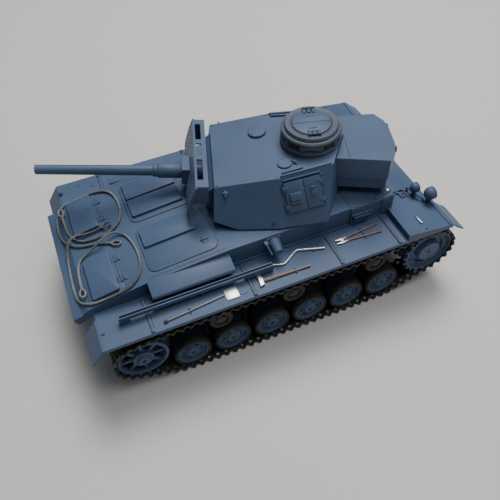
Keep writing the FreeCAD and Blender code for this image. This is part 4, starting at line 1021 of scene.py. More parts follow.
        sketch.box((-8.6, -62.5, 88.2), (-5.6, -58.4, 90.4), 0.3)
        sketch.tube([(-7.2, -62.2, 89.6), (-6.6, -66.0, 86.8), (-5.8, -69.2, 84.4)], 0.7, 8)
        for x, z in ((-5.0, 80.4), (5.0, 80.4), (-5.0, 90.2), (5.0, 90.2)):
            sketch.bolt((x, -59.0, z), (0, -1, 0), 0.5, 0.4, 6)
        maker.finish(sketch, "side_fittings", "hull")

    def _front_fittings(self, maker: Maker) -> None:
        """Builds the glacis hatches, front fender latches, roof catches and roof seams."""
        sketch = Sketch()
        lean = math.atan2(79.0 - 72.8, 149.0 - 104.8)
        sketch.matrix = Matrix.Translation((127.0, 0, 75.95)) @ Matrix.Rotation(lean, 4, "Y")
        for side in (-1, 1):
            for top, index, grow, bevel in ((0.1, 1, 0.35, 0.0), (0.5, 0, 0.0, 0.2)):
                sketch.box((-12.0 - grow, side * (18.0 - grow), -0.4), (8.0 + grow, side * (43.0 + grow), top),
                           bevel, index)
            for y in (24.0, 37.0):
                sketch.box((-15.4, side * y - 1.8, 0.0), (-12.6, side * y + 1.8, 1.0), 0.2)
                sketch.rod((-12.3, side * y - 2.2, 0.9), (-12.3, side * y + 2.2, 0.9), 0.7, sides=10)
                sketch.box((-12.2, side * y - 1.1, 0.4), (-8.4, side * y + 1.1, 0.9), 0.2)
            low, high = (75.2, 84.0) if side > 0 else (-84.0, -75.2)
            sketch.box((-6.0, low, 0.0), (-5.2, high, 0.7), 0.15)
            sketch.box((-4.2, low + 1.0, 0.0), (-3.4, high, 0.9), 0.15)
            sketch.bolt((-4.6, side * 76.4, 0.2), (0, 0, 1), 0.9, 0.8, 8, 2)
            sketch.rod((-5.4, side * 77.6, 1.0), (-4.4, side * 83.2, 1.0), 0.45, sides=8, bevel=0.0, index=2)
            sketch.box((-4.8, side * 88.6, -0.2), (-3.2, side * 91.0, 0.06), 0.0, 1)
            sketch.box((18.0, side * 65.0, -0.1), (20.0, side * 91.6, 0.75), 0.2)
        sketch.matrix = Matrix.Identity(4)
        for side in (-1, 1):
            bar = [(92.0, side * 55.8, 92.8), (92.8, side * 57.6, 92.8), (108.6, side * 53.0, 92.8),
                   (107.8, side * 50.8, 92.8)]
            sketch.prism(bar, (0, 0, 1.8), 0.3)
            sketch.rod((105.6, side * 52.6, 94.4), (105.6, side * 52.6, 95.4), 1.7, 1.4, 12, 0.2, 2)
            sketch.rod((97.0, side * 55.2, 94.4), (97.0, side * 55.2, 95.0), 1.2, 1.0, 12, 0.1)
            handle = [(123.4, side * 43.0, 77.0), (129.4, side * 42.6, 76.4), (130.4, side * 50.0, 76.3),
                      (124.0, side * 50.8, 77.0)]
            sketch.tube(handle, 0.55, 8, 0, True)
            sketch.bolt((127.0, side * 47.0, 76.0), (0, 0, 1), 0.9, 0.9)
            sketch.box((121.4, side * 44.0, 76.4), (123.4, side * 46.0, 78.2), 0.2)
            sketch.box((68.8, side * 8.0, 92.9), (69.3, side * 57.0, 93.08), 0.0, 1)
        for y in (-34.0, 20.0):
            sketch.box((109.0, y, 82.6), (111.4, y + 15.0, 88.0), 0.4)
            sketch.box((111.3, y + 1.6, 84.6), (111.5, y + 13.4, 85.6), 0.0, 1)
        for k in range(9):
            sketch.bolt((109.0, -52.0 + k * 13.0, 80.6), (1, 0, 0), 0.55, 0.5, 6)
        maker.finish(sketch, "front_fittings", "hull", Slot.HULL, [PAINT, SEAM_AND_SHADE, STEEL])

    def _headlights(self, maker: Maker) -> None:
        """Builds the three headlights and the bent rod beside the right pair."""
        sketch = Sketch()
        for x, y, radius in ((144.0, -61.5, 5.6), (136.5, -50.0, 4.4), (138.0, 50.0, 5.6)):
            foot = self.fender_top + (149.0 - x) * 0.14 + 0.2
            z = foot + 0.2 + radius + 3.4
            sketch.rod((x, y, foot), (x, y, foot + 1.0), 2.6, 2.2)
            sketch.rod((x, y, foot), (x, y, z - radius * 0.7), 1.4, sides=14)
            sketch.rod((x, y, z - radius - 1.2), (x, y, z - radius + 0.6), 2.0, 2.8, sides=16)
            dome = [(-along, out) for along, out, _ in arc(radius, 0.0, math.pi / 2, 10)]
            dome += [(radius * 0.36, radius * 0.95), (radius * 0.4, radius * 1.0), (radius * 0.54, radius * 0.98),
                     (radius * 0.54, radius * 0.84), (radius * 0.42, radius * 0.8)]
            sketch.lathe(dome, (x, y, z), (1, 0, 0), 40, 0)
            lens = [(radius * 0.42, radius * 0.82), (radius * 0.52, radius * 0.5), (radius * 0.56, 0.0)]
            sketch.lathe(lens, (x, y, z), (1, 0, 0), 32, 1)
        maker.finish(sketch, "look_headlights", "hull", Slot.LAMP, [PAINT, GLASS], ["headlights"])
        rods = Sketch()
        rods.tube([(133.0, -43.4, 75.2), (133.4, -44.0, 78.4), (133.8, -46.0, 79.2), (134.3, -52.4, 79.2),
                   (136.0, -56.4, 78.6), (138.6, -59.4, 77.2), (139.6, -60.6, 74.6)], 0.8, 10)
        rods.box((131.4, -44.6, 74.6), (134.8, -42.0, 76.2), 0.3)
        maker.finish(rods, "lamp_guard", "hull", Slot.LAMP, [PAINT])


# ---------------------------------------------------------------- tools
@dataclass
class Tools:
    """Pioneer tools laid on the right fender."""

    top: float = 72.8

    def build(self, maker: Maker) -> None:
        """Builds all tools and the clips that hold them."""
        sketch = Sketch()
        z = self.top + 1.0
        sketch.rod((-99, -87.0, z), (-51.4, -82.05, z), 0.6, 0.7, index=3)
        sketch.rod((-100.6, -87.1, z), (-98.0, -86.85, z), 1.3, index=2)
        sketch.box((-51.0, -87.6, self.top + 0.1), (-40.5, -77.2, self.top + 0.9), 0.2)
        axe = ((-23.2, -86.6), (-19.4, -85.8), (-18.6, -80.4), (-19.6, -75.8), (-22.6, -75.8), (-22.4, -80.4))
        sketch.prism([(x, y, self.top + 0.3) for x, y in axe], (0, 0, 2.0), 0.3)
        grip = [(-18.6, 1.3, -82.0), (-12.0, 1.6, -82.0), (-6.0, 1.3, -82.3), (2.0, 0.85, -82.8),
                (12.0, 0.75, -83.0), (20.5, 0.95, -83.2)]
        for (xa, ra, ya), (xb, rb, yb) in zip(grip, grip[1:]):
            sketch.rod((xa, ya, z + 0.3), (xb, yb, z + 0.3), min(ra, 1.2), min(rb, 1.2), bevel=0.0, index=1)
            corners = ((xa, ya - ra), (xb, yb - rb), (xb, yb + rb), (xa, ya + ra))
            sketch.prism([(x, y, z + 0.1) for x, y in corners], (0, 0, 0.7), 0.2, 1)
        crank = ((-6.0, -71.0), (2.5, -74.0), (17.0, -64.8), (39.0, -72.0))
        sketch.tube(self._rounded([Vector((x, y, z + 0.2)) for x, y in crank], 2.2), 0.85, 12)
        sketch.rod((22.0, -66.4, z + 0.2), (26.0, -67.7, z + 0.2), 1.1, bevel=0.2)
        for jaw, grip_y in ((-69.0, -66.0), (-72.4, -74.8)):
            sketch.rod((60.4, jaw, z), (90.0, grip_y, z), 0.6, 0.75, index=1)
            blade = ((60.6, -1.0), (55.0, -1.3), (50.0, -0.5), (50.0, 0.5), (55.0, 1.3), (60.6, 1.0))
            sketch.prism([(x, jaw + y, z - 0.7) for x, y in blade], (0, 0, 1.3), 0.25)
        sketch.rod((56.0, -70.7, z - 0.9), (56.0, -70.7, z + 0.9), 1.1, sides=12)
        finishes = [STEEL, WOOD, IRON, PALE_WOOD]
        maker.finish(sketch, "look_fender_tools", "hull", Slot.TOOL, finishes, ["fender_tools"])
        clips = Sketch()
        for x, y in ((-80.0, -85.0), (8.0, -82.9), (30.0, -69.1), (75.0, -67.5), (75.0, -73.6)):
            for low in (y - 2.0, y + 1.5):
                clips.box((x - 0.8, low, self.top), (x + 0.8, low + 0.5, self.top + 1.7), 0.15)
        maker.finish(clips, "tool_clips", "hull", Slot.HULL, [PAINT])

    @staticmethod
    def _rounded(points: Sequence[Vector], reach: float, steps: int = 6) -> list[Vector]:
        """Rounds the corners of a line.

        Args:
            points: corner points.
            reach: how far from each corner the round starts.
            steps: points per round.

        Returns:
            The rounded line.
        """
        line = [points[0]]
        for before, here, after in zip(points, points[1:], points[2:]):
            a = here + (before - here).normalized() * reach
            b = here + (after - here).normalized() * reach
            for k in range(steps + 1):
                t = k / steps
                line.append(a * (1 - t) ** 2 + here * 2 * t * (1 - t) + b * t * t)
        line.append(points[-1])
        return line


# ---------------------------------------------------------------- tow cables
LIE, LID, EDGE, EYE, RISE, OVER = 1.55, 2.0, 2.4, 2.8, 3.4, 6.4


@dataclass
class TowCable:
    """Twisted wire rope lying on the engine deck, with a spliced loop on each end."""

    name: str
    route: Sequence[tuple[float, float, float]]
    length: float
    radius: float = 1.0
    strands: int = 5
    strand_r: float = 0.42
    strand_at: float = 0.56
    lay_length: float = 5.2
    step: float = 0.45
    deck: Deck = field(default_factory=Deck)

    def build(self, maker: Maker) -> None:
        """Builds the rope and its two loops."""
        corners = [Vector((x, y, self.deck.height(x) + lift)) * MM for x, y, lift in self.route]
        line = self._centre_line(corners)
        sketch = Sketch()
        fine = self._even([p / MM for p in line], self.step)
        across = None
        frames = []
        for k, here in enumerate(fine):
            along = (fine[min(k + 1, len(fine) - 1)] - fine[max(k - 1, 0)]).normalized()
            across = (across or along.orthogonal()).normalized()
            across = (across - along * across.dot(along)).normalized()
            frames.append((here, across.copy(), along.cross(across)))
        for strand in range(self.strands):
            points = []
            for k, (here, side, other) in enumerate(frames):
                angle = math.tau * (strand / self.strands + k * self.step / self.lay_length)
                points.append(here + (side * math.cos(angle) + other * math.sin(angle)) * self.strand_at)
            sketch.tube(points, self.strand_r, 6)
        rope = maker.finish(sketch, "look_" + self.name, "hull", Slot.ROPE, [ROPE], [self.name])
        loops = self._loops(maker, ((line[0], line[1]), (line[-1], line[-2])))

    def _centre_line(self, corners: Sequence[Vector]) -> list[Vector]:
        """Points along the spline that the rope follows."""
        curve = bpy.data.curves.new(self.name + "_line", "CURVE")
        curve.dimensions = "3D"
        spline = curve.splines.new("NURBS")
        spline.points.add(len(corners) - 1)
        for point, corner in zip(spline.points, corners):
            point.co = (*corner, 1.0)
        spline.order_u = 3
        spline.use_endpoint_u = True
        spline.resolution_u = 16
        guide = bpy.data.objects.new(self.name + "_line", curve)
        bpy.context.scene.collection.objects.link(guide)
        bpy.context.view_layer.update()
        depsgraph = bpy.context.evaluated_depsgraph_get()
        mesh = bpy.data.meshes.new_from_object(guide.evaluated_get(depsgraph))
        line = [v.co.copy() for v in mesh.vertices]
        bpy.data.meshes.remove(mesh)
        bpy.data.objects.remove(guide)
        bpy.data.curves.remove(curve)
        return line

    def _loops(self, maker: Maker, ends: Sequence[tuple[Vector, Vector]]) -> bpy.types.Object:
        """Builds a teardrop loop and its binding at each end.

        Args:
            maker: makes the object.
            ends: (end, point before it) pairs in metres.

        Returns:
            The object with both loops.
        """
        sketch = Sketch()
        for end, before in ends:
            tip, back = end / MM, before / MM
            along = (tip - back).normalized()
            across = Vector((0, 0, 1)).cross(along).normalized()
            loop = []
            for k in range(29):
                angle = math.pi - math.tau * k / 28 * 0.86 - math.tau * 0.07
                loop.append(tip + along * (5.5 + 3.8 * math.cos(angle)) + across * (2.1 * math.sin(angle)))
            line = [tip + along * 0.4 + across * 0.35] + loop + [tip + along * 0.4 - across * 0.35]
            sketch.tube(line, 0.8, 8)
            for k in range(5):
                centre = tip + along * (-0.2 + k * 0.62)
                sketch.rod(centre, centre + along * 0.5, 1.15, sides=12, bevel=0.15)
        return maker.finish(sketch, f"look_{self.name}_loops", "hull", Slot.ROPE, [ROPE], ["tow_cable_eyes"])

    @staticmethod
    def _even(points: Sequence[Vector], step: float) -> list[Vector]:
        """Points spaced evenly along a line."""
        result, left = [points[0].copy()], step
        for a, b in zip(points, points[1:]):
            span = (b - a).length
            done = 0.0
            while span - done >= left:
                done += left
                result.append(a + (b - a) * (done / span))
                left = step
            left -= span - done
        return result


FAR_ROUTE = [
    (-149.4, 41.0, EYE), (-149.3, 32.5, LID), (-148.6, 23.5, LIE), (-146.4, 15.4, LID), (-141.2, 8.6, LIE),
    (-133.0, 5.4, LIE), (-123.5, 4.4, LIE), (-114.0, 5.6, LIE), (-106.8, 10.6, LIE), (-103.0, 19.0, LIE),
    (-102.0, 29.6, LIE), (-102.8, 40.6, LIE), (-106.8, 50.0, LIE), (-115.0, 55.4, LIE), (-125.0, 56.4, LIE),
    (-136.0, 56.2, LIE), (-145.6, 55.8, EDGE), (-152.2, 50.4, EDGE), (-155.4, 42.0, LIE), (-155.9, 32.6, LIE),
    (-155.0, 23.4, LIE), (-152.4, 14.4, EDGE), (-147.6, 7.0, EDGE), (-140.6, 2.6, LIE), (-132.6, 0.2, LIE),
    (-125.2, -2.6, LIE), (-119.0, -6.4, LIE)]
NEAR_ROUTE = [
    (-149.6, -38.0, EYE), (-149.4, -29.0, LID), (-148.6, -20.0, LID), (-146.2, -12.0, LID), (-140.8, -7.4, LIE),
    (-133.8, -6.2, RISE), (-127.0, -5.0, OVER), (-119.8, -0.8, OVER), (-113.2, 0.8, RISE), (-107.2, -2.8, LIE),
    (-103.6, -10.6, LIE), (-101.8, -20.8, LIE), (-101.4, -31.6, LIE), (-102.8, -42.0, LIE), (-106.8, -50.0, LIE),
    (-114.0, -55.4, LIE), (-123.6, -56.5, LIE), (-134.0, -56.4, LIE), (-143.8, -56.1, EDGE), (-151.4, -51.6, EDGE),
    (-155.2, -43.6, LIE), (-155.9, -34.0, LIE), (-155.7, -24.0, LIE), (-155.3, -14.6, LIE), (-154.8, -6.0, LIE),
    (-153.4, 1.8, RISE), (-150.4, 8.6, OVER), (-144.4, 12.4, OVER), (-137.4, 12.9, RISE), (-129.8, 12.2, LID),
    (-122.8, 12.4, EDGE)]


# ---------------------------------------------------------------- turret
def turret_matrix() -> Matrix:
    """Turret frame in the hull's frame, in millimetres."""
    return Matrix.Translation((27.3, 0, 0)) @ Matrix.Rotation(math.radians(162.8), 4, "Z")


def gun_matrix() -> Matrix:
    """Gun frame, +X along the bore from the trunnion."""
    raised = Matrix.Translation((46.0, 0, 107.3)) @ Matrix.Rotation(math.radians(-7.3), 4, "Y")
    return turret_matrix() @ raised


class SidePlane:
    """Local frame on the turret's rear side plane: X rearwards, Y up the slope, Z outwards."""

    def __init__(self, sign: int) -> None:
        """Finds the plane on one side; sign 1 is the turret's left."""
        top, rear, foot = (Vector((p[0], sign * p[1], p[2])) for p in (
            (1.9, 40.0, 130.4), (-40.6, 34.0, 134.8), (3.0, 58.6, 94.5)))
        normal = (rear - top).cross(foot - top).normalized()
        if normal.y * sign < 0:
            normal.negate()
        back = (rear - top).normalized()
        up = back.cross(normal)
        if up.z < 0:
            up.negate()
        origin = foot + up * 4.0 + back
        rotation = Matrix((back, up, normal)).transposed().to_4x4()
        self.matrix = turret_matrix() @ Matrix.Translation(origin) @ rotation
        self.sign = sign


@dataclass
class Turret:
    """Turret shell with hatches, cupola, bin and fittings."""

    cupola_t: float = -28.6
    cupola_top: float = 149.2
    cupola_r: float = 24.3
    hatch_r: float = 15.3

    def build(self, maker: Maker) -> None:
        """Builds everything that turns with the turret."""
        maker.softened("turret_shell", "turret", 0.4)
        maker.softened("turret_ring", "turret", 0.3)
        maker.softened("stowage_bin", "turret", 0.5)
        self._roof_fittings(maker)
        self._bin_fittings(maker)
        self._cupola(maker)
        for sign, side in ((1, "left"), (-1, "right")):
            self._lid(maker, sign, side)
            self._side(maker, sign, side)

    def _roof_z(self, t: float) -> float:
        """Height of the turret roof."""
        return 125.2 + (51.0 - t) * 9.6 / 91.6

    def _roof_fittings(self, maker: Maker) -> None:
        """Builds the vent, signal port, roof rails, hooks and edge bolts."""
        roof = Vector((9.6 / 91.6, 0, 1)).normalized()
        sketch = Sketch(turret_matrix())
        vent = [(-1.0, 7.5), (1.7, 7.5), (2.1, 7.1), (2.2, 6.2), (2.2, 0.0)]
        sketch.lathe(vent, (12.3, -18.0, self._roof_z(12.3)), roof, 40, 0)
        for step in range(3):
            angle = math.tau * step / 3 + 0.6
            at = (12.3 + 5.4 * math.cos(angle), -18 + 5.4 * math.sin(angle), self._roof_z(12.3) + 1.9)
            sketch.bolt(at, roof, 0.5, 0.45, 8)
        port = [(-1.0, 6.0), (1.0, 6.0), (1.4, 5.6), (1.4, 5.0), (1.1, 4.8), (1.1, 0.0)]
        sketch.lathe(port, (-4.9, 24.5, self._roof_z(-4.9)), roof, 36, 0)
        z = self._roof_z(-13.0)
        sketch.tube([(-9.6, 24.0, z), (-10.4, 24.6, z + 1.6), (-12.2, 25.6, z + 2.0), (-13.8, 26.8, z + 1.2),
                     (-13.2, 28.0, z)], 0.75, 8)
        for sign in (1, -1):
            rail = [(-0.8, sign * 35.6), (-17.5, sign * 32.6)]
            edge = [(0.6, sign * 38.6), (-39.4, sign * 32.9)]
            for (ta, sa), (tb, sb) in (rail, edge):
                corners = ((ta, sa - 0.8), (tb, sb - 0.8), (tb, sb + 0.8), (ta, sa + 0.8))
                sketch.prism([(t, s, self._roof_z(t) - 0.2) for t, s in corners], (0, 0, 1.8), 0.25)
            sketch.bolt((49.0, sign * 36.8, self._roof_z(49.0)), roof, 0.9, 0.7)
            sketch.bolt((3.0, sign * 38.4, self._roof_z(3.0)), roof, 0.7, 0.5)
            hook = ((40.4, 122.6), (43.4, 123.0), (44.6, 121.4), (43.8, 119.4), (42.4, 119.0))
            sketch.tube([(43.0, sign * s, z) for s, z in hook], 0.9, 8)
            sketch.rod((41.0, sign * 41.0, 121.0), (45.0, sign * 41.0, 121.0), 1.5, sides=12)
        for k in range(7):
            sketch.bolt((50.2, -33.0 + 11.0 * k, self._roof_z(50.2)), roof, 0.4, 0.25, 6)
        maker.finish(sketch, "roof_fittings", "turret")

    def _bin_fittings(self, maker: Maker) -> None:
        """Builds the bin's lid seam, latches and rear rivets."""
        sketch = Sketch(turret_matrix())
        for s in (-12.0, 16.0):
            sketch.box((-94.9, s - 1.8, 126.0), (-93.6, s + 1.8, 131.0), 0.3)
        for s in (-16.0, 20.0):
            sketch.bolt((-92.0, s, 131.4), (0, 0, 1), 0.8, 0.35)
        sketch.box((-56.1, -26.4, 131.3), (-55.6, 26.2, 131.56), 0.0, 1)
        sketch.bolt((-58.6, 20.0, 131.4), (0, 0, 1), 0.8, 0.3)
        maker.finish(sketch, "bin_fittings", "turret")

    def _cupola(self, maker: Maker) -> None:
        """Builds the cupola body with its vision blocks and rings."""
        sketch = Sketch(turret_matrix())
        centre = (self.cupola_t, 0, 0)
        r = self.cupola_r
        skin = [(124.0, r), (136.6, r), (137.2, r - 0.6), (137.2, r - 2.4), (143.0, r - 2.4), (143.0, r - 0.9),
                (143.5, r - 0.5), (145.3, r - 0.5), (146.2, r - 1.4), (146.4, r - 2.6), (146.9, r - 2.8),
                (146.9, 21.2), (147.3, 20.9), (148.8, 20.8), (149.2, 20.3), (149.2, self.hatch_r + 1.0),
                (149.0, self.hatch_r + 0.5), (147.4, self.hatch_r + 0.3), (147.4, self.hatch_r - 1.5),
                (126.0, self.hatch_r - 1.5)]
        sketch.lathe(skin, centre, (0, 0, 1), 96, 0)
        body = sketch.matrix @ Matrix.Translation(centre)
        for step in range(5):
            angle = math.tau * step / 5 + math.radians(10)
            sketch.matrix = body @ Matrix.Rotation(angle, 4, "Z")
            self._vision_block(sketch, r)
            for seam in (angle - 0.42, angle + 0.42):
                sketch.matrix = body @ Matrix.Rotation(seam, 4, "Z")
                sketch.box((r - 3.0, -0.3, 143.2), (r - 0.45, 0.3, 145.4), 0.0, 1)
                sketch.box((r - 1.2, -0.3, 125.0), (r + 0.04, 0.3, 136.4), 0.0, 1)
            sketch.matrix = body @ Matrix.Rotation(angle + math.pi / 5, 4, "Z")
            sketch.box((r - 3.4, -3.6, 138.6), (r - 2.2, 3.6, 141.4), 0.3, 1)
        sketch.matrix = turret_matrix()
        for step in range(10):
            angle = math.tau * (step + 0.5) / 10
            at = (self.cupola_t + 18.8 * math.cos(angle), 18.8 * math.sin(angle), 149.1)
            sketch.bolt(at, (0, 0, 1), 0.45, 0.3, 8)
        for low, high, outer, inner in ((146.8, 147.0, 21.7, 21.0), (149.0, 149.24, 16.9, 16.45)):
            sketch.lathe([(low, outer), (high, outer), (high, inner), (low, inner)], centre, (0, 0, 1), 64, 1)
        maker.finish(sketch, "look_cupola", "turret", Slot.CUPOLA, [CUPOLA_PAINT, SEAM_AND_SHADE], ["cupola"])

    @staticmethod
    def _vision_block(sketch: Sketch, r: float) -> None:
        """Adds one armoured vision block facing +X."""
        wide, narrow = math.radians(23), math.radians(13)
        block = arc(r - 0.7, -wide, wide, 8, 137.4) + arc(r - 4.2, wide, -wide, 8, 137.4)
        sketch.prism(block, (0, 0, 5.2), 0.45)
        slot = arc(r - 0.55, -narrow, narrow, 6, 139.6) + arc(r - 1.4, narrow, -narrow, 6, 139.6)
        sketch.prism(slot, (0, 0, 1.0), 0.0, 1)

    def _lid(self, maker: Maker, sign: int, side: str) -> None:
        """Builds one half-round hatch leaf."""
        sketch = Sketch(turret_matrix())
        r = self.hatch_r
        gap = math.asin(0.15 / r)
        outline = arc(r, gap, math.pi - gap, 32, 148.1)
        sketch.prism([(self.cupola_t + x, sign * s, z) for x, s, z in outline], (0, 0, 1.6), 0.3)
        y = sign * (r + 0.9)
        z = self.cupola_top + 1.5
        t = self.cupola_t
        sketch.box((t - 5.2, sign * (r - 4.0), 149.5), (t + 5.2, y, 149.8), 0.0, 1)
        for a, b in ((-4.8, -2.6), (-1.1, 1.1), (2.6, 4.8)):
            sketch.rod((t + a, y, z), (t + b, y, z), 0.98, sides=14)
            sketch.box((t + a + 0.1, sign * (r - 4.6), 149.6), (t + b - 0.1, y, z - 0.1), 0.3)
            sketch.bolt((t + (a + b) / 2, sign * (r - 3.6), z - 0.2), (0, 0, 1), 0.55, 0.4)
        sketch.rod((t - 5.0, y, z), (t + 5.0, y, z), 0.5, sides=10)
        sketch.box((t - 3.0, sign * (r - 8.6), 149.6), (t + 3.0, sign * (r - 7.2), 150.2), 0.2)
        name = f"cupola_lid_{side}"
        maker.finish(sketch, "look_" + name, name, Slot.CUPOLA, [PAINT, SEAM_AND_SHADE], [name])

    def _side(self, maker: Maker, sign: int, side: str) -> None:
        """Builds both leaves of one side door, its hinge brackets, drip rail and surround."""
        plane = SidePlane(sign)
        for leaf, (start, end) in {"front": (8.6, 23.6), "rear": (24.0, 37.0)}.items():
            sketch = Sketch(plane.matrix)
            sketch.box((start, 6.9, 0.3), (end, 31.4, 1.9), 0.3)
            hinge = start - 1.0 if leaf == "front" else end + 1.0
            inward = 1 if leaf == "front" else -1
            for up in (11.5, 26.5):
                sketch.rod((hinge, up - 2.4, 1.2), (hinge, up + 2.4, 1.2), 0.9, sides=14)
                sketch.box((hinge, up - 1.6, 1.3), (hinge + inward * 3.8, up + 1.6, 2.3), 0.25)
                for offset in (-1.0, 1.0):
                    sketch.bolt((hinge + inward * 2.6, up + offset, 2.2), (0, 0, 1), 0.45, 0.4, 6)
            middle = (start + end) / 2
            if leaf == "front":
                sketch.box((middle - 4.6, 13.5, 1.7), (middle + 4.6, 22.5, 3.9), 0.5)
                sketch.box((middle - 4.0, 13.1, 1.7), (middle + 4.0, 13.7, 3.2), 0.1, 1)
                sketch.box((middle - 3.4, 15.6, 3.85), (middle + 3.4, 16.5, 3.95), 0.0, 1)
            else:
                sketch.box((middle - 2.4, 15.5, 1.7), (middle + 2.4, 21.5, 2.9), 0.4)
                sketch.rod((middle, 18.5, 2.6), (middle, 18.5, 3.5), 1.3, sides=14)
                sketch.tube([(middle - 2.2, 23.4, 1.8), (middle - 1.8, 23.8, 3.0), (middle + 1.8, 23.8, 3.0),
                             (middle + 2.2, 23.4, 1.8)], 0.45, 8)
            name = f"{side}_door_{leaf}_leaf"
            maker.finish(sketch, "look_" + name, name, replaces=[name])
        sketch = Sketch(plane.matrix)
        for hinge, inward in ((7.6, 1), (38.0, -1)):
            for up in (7.6, 15.4, 22.6, 30.4):
                sketch.rod((hinge, up - 1.2, 0.6), (hinge, up + 1.2, 0.6), 0.6, sides=10)
                sketch.bolt((hinge - inward * 1.4, up, 0.0), (0, 0, 1), 0.5, 0.6, 6)
        sketch.box((8.2, 6.3, -0.1), (37.4, 6.7, 0.25), 0.0, 1)
        sketch.box((8.2, 31.6, -0.1), (37.4, 32.0, 0.25), 0.0, 1)
        sketch.box((8.6, 32.8, -0.3), (38.0, 34.0, 1.7), 0.3)
        sketch.box((-6.4, 0.6, -0.3), (-4.0, 1.6, 0.06), 0.0, 1)
        maker.finish(sketch, f"{side}_door_surround", "turret")


# ---------------------------------------------------------------- gun
@dataclass
class Gun:
    """Mantlet with spaced armour, sleeve and barrel."""

    muzzle: float = 146.5
    barrel_r: float = 4.3
    muzzle_r: float = 3.9
    sleeve_r: float = 6.1

    def build(self, maker: Maker) -> None:
        """Builds everything that rises with the gun."""
        maker.softened("gun_mantlet", "gun", 0.35)
        self._armour_fittings(maker)
        self._barrel(maker)

    def _armour_fittings(self, maker: Maker) -> None:
        """Builds the armour's rivet rows and the collar bolts."""
        sketch = Sketch(gun_matrix())
        face = [(21.6, 20.4), (24.0, 12.0), (25.8, 4.0), (27.2, -3.5), (27.6, -8.5)]
        for s in (-39.6, -29.0, -18.5, 18.5, 29.0, 39.6):
            for (xa, za), (xb, zb) in zip(face, face[1:]):
                out = Vector((za - zb, 0, xb - xa)).normalized()
                for share in (0.3, 0.8):
                    at = (xa + (xb - xa) * share, s, za + (zb - za) * share)
                    sketch.bolt(at, out, 0.6, 0.5, 8)
        for k in range(13):
            sketch.bolt((20.8, -39.0 + 6.5 * k, 20.3), (0, 0, 1), 0.4, 0.3, 8)
        for y, z in ((-7.0, -7.0), (7.0, -7.0), (-7.0, 7.0), (7.0, 7.0)):
            sketch.bolt((31.0, y, z * 0.85), (1, 0, 0), 0.7, 0.6, 8)
        maker.finish(sketch, "armour_fittings", "gun")

    def _barrel(self, maker: Maker) -> None:
        """Builds the sleeve and the tapered tube with its muzzle."""
        sketch = Sketch(gun_matrix())
        end = self.muzzle
        skin = [(2.0, 0.0), (2.0, 5.4), (31.0, 5.4), (31.0, self.sleeve_r - 0.2), (31.3, self.sleeve_r),
                (49.6, self.sleeve_r), (50.6, self.sleeve_r - 0.5), (51.0, self.sleeve_r - 1.0), (51.4, 5.2),
                (53.4, 5.2), (54.0, 4.9), (54.4, self.barrel_r), (end - 0.4, self.muzzle_r),
                (end, self.muzzle_r - 0.3), (end, 2.9), (end - 0.5, 2.6), (end - 50.0, 2.6), (end - 50.0, 0.0)]
        sketch.lathe(skin, (0, 0, 0), (1, 0, 0), 48, 0)
        maker.finish(sketch, "look_gun_barrel", "gun", Slot.HULL, [PAINT], ["gun_barrel"])


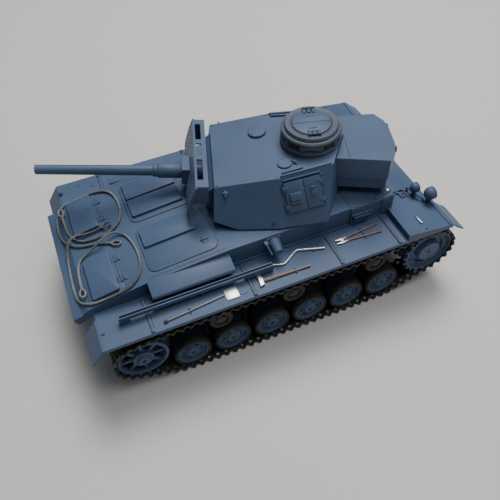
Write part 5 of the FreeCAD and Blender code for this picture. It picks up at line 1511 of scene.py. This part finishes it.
# ---------------------------------------------------------------- stage
@dataclass(frozen=True)
class Studio:
    """Plain pale floor, soft lights and the camera."""

    floor_half: float = 6.0
    camera_at: tuple[float, float, float] = (-0.11729, -0.31836, 0.42210)
    azimuth: float = 20.519
    drop: float = 50.487
    roll: float = 2.809
    lens: float = 40.262

    def build(self) -> None:
        """Builds the stage around the object."""
        self._floor()
        self._lights()
        self._camera()

    def _floor(self) -> None:
        """Adds a large pale floor."""
        part = bmesh.new()
        bmesh.ops.create_grid(part, x_segments=1, y_segments=1, size=self.floor_half)
        mesh = bpy.data.meshes.new("floor")
        part.to_mesh(mesh)
        part.free()
        material = bpy.data.materials.new("floor_pale")
        material.use_nodes = True
        shader = material.node_tree.nodes["Principled BSDF"]
        shader.inputs["Base Color"].default_value = (0.62, 0.6, 0.56, 1.0)
        shader.inputs["Roughness"].default_value = 0.7
        mesh.materials.append(material)
        floor = bpy.data.objects.new("floor", mesh)
        floor.location.z = -0.00005
        bpy.context.scene.collection.objects.link(floor)

    def _lights(self) -> None:
        """Adds a soft key behind the object, a top light, a weak fill and a pale world."""
        world = bpy.data.worlds.new("studio")
        world.use_nodes = True
        background = world.node_tree.nodes["Background"]
        background.inputs["Color"].default_value = (0.75, 0.82, 0.95, 1.0)
        background.inputs["Strength"].default_value = 0.16
        bpy.context.scene.world = world
        target = Vector((0, 0, 0.05))
        for name, place, size, power in (("key", (0.5, 0.8, 2.05), 1.1, 47.0),
                                         ("top", (0.35, -0.3, 1.6), 1.0, 10.0),
                                         ("fill", (0.9, -0.9, 0.6), 1.0, 0.9)):
            light = bpy.data.lights.new(name, "AREA")
            light.size = size
            light.energy = power
            lamp = bpy.data.objects.new(name, light)
            lamp.location = place
            lamp.rotation_euler = (target - Vector(place)).to_track_quat("-Z", "Y").to_euler()
            bpy.context.scene.collection.objects.link(lamp)

    def _camera(self) -> None:
        """Places the camera at the reference view."""
        azimuth, drop, roll = (math.radians(v) for v in (self.azimuth, self.drop, self.roll))
        level = math.cos(drop)
        ahead = Vector((math.sin(azimuth) * level, math.cos(azimuth) * level, -math.sin(drop)))
        right = ahead.cross(Vector((0, 0, 1))).normalized()
        down = ahead.cross(right)
        across = right * math.cos(roll) + down * math.sin(roll)
        below = down * math.cos(roll) - right * math.sin(roll)
        data = bpy.data.cameras.new("camera")
        data.lens = self.lens
        data.sensor_width = 36.0
        data.clip_start = 0.01
        camera = bpy.data.objects.new("camera", data)
        rotation = Matrix((across, -below, -ahead)).transposed().to_4x4()
        camera.matrix_world = Matrix.Translation(self.camera_at) @ rotation
        bpy.context.scene.collection.objects.link(camera)
        bpy.context.scene.camera = camera


def main() -> None:
    logging.basicConfig(level=logging.INFO, format="%(message)s")
    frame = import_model()
    maker = Maker(frame, Paints())
    gear = RunningGear()
    gear.build(maker)
    TrackBelt(gear).build(maker)
    HullLooks().build(maker)
    Tools().build(maker)
    TowCable("tow_cable_far", FAR_ROUTE, 240.0).build(maker)
    TowCable("tow_cable_near", NEAR_ROUTE, 261.0).build(maker)
    Turret().build(maker)
    Gun().build(maker)
    Studio().build()
    LOG.info("made %d pieces", len(maker.made))


if __name__ == "__main__":
    main()
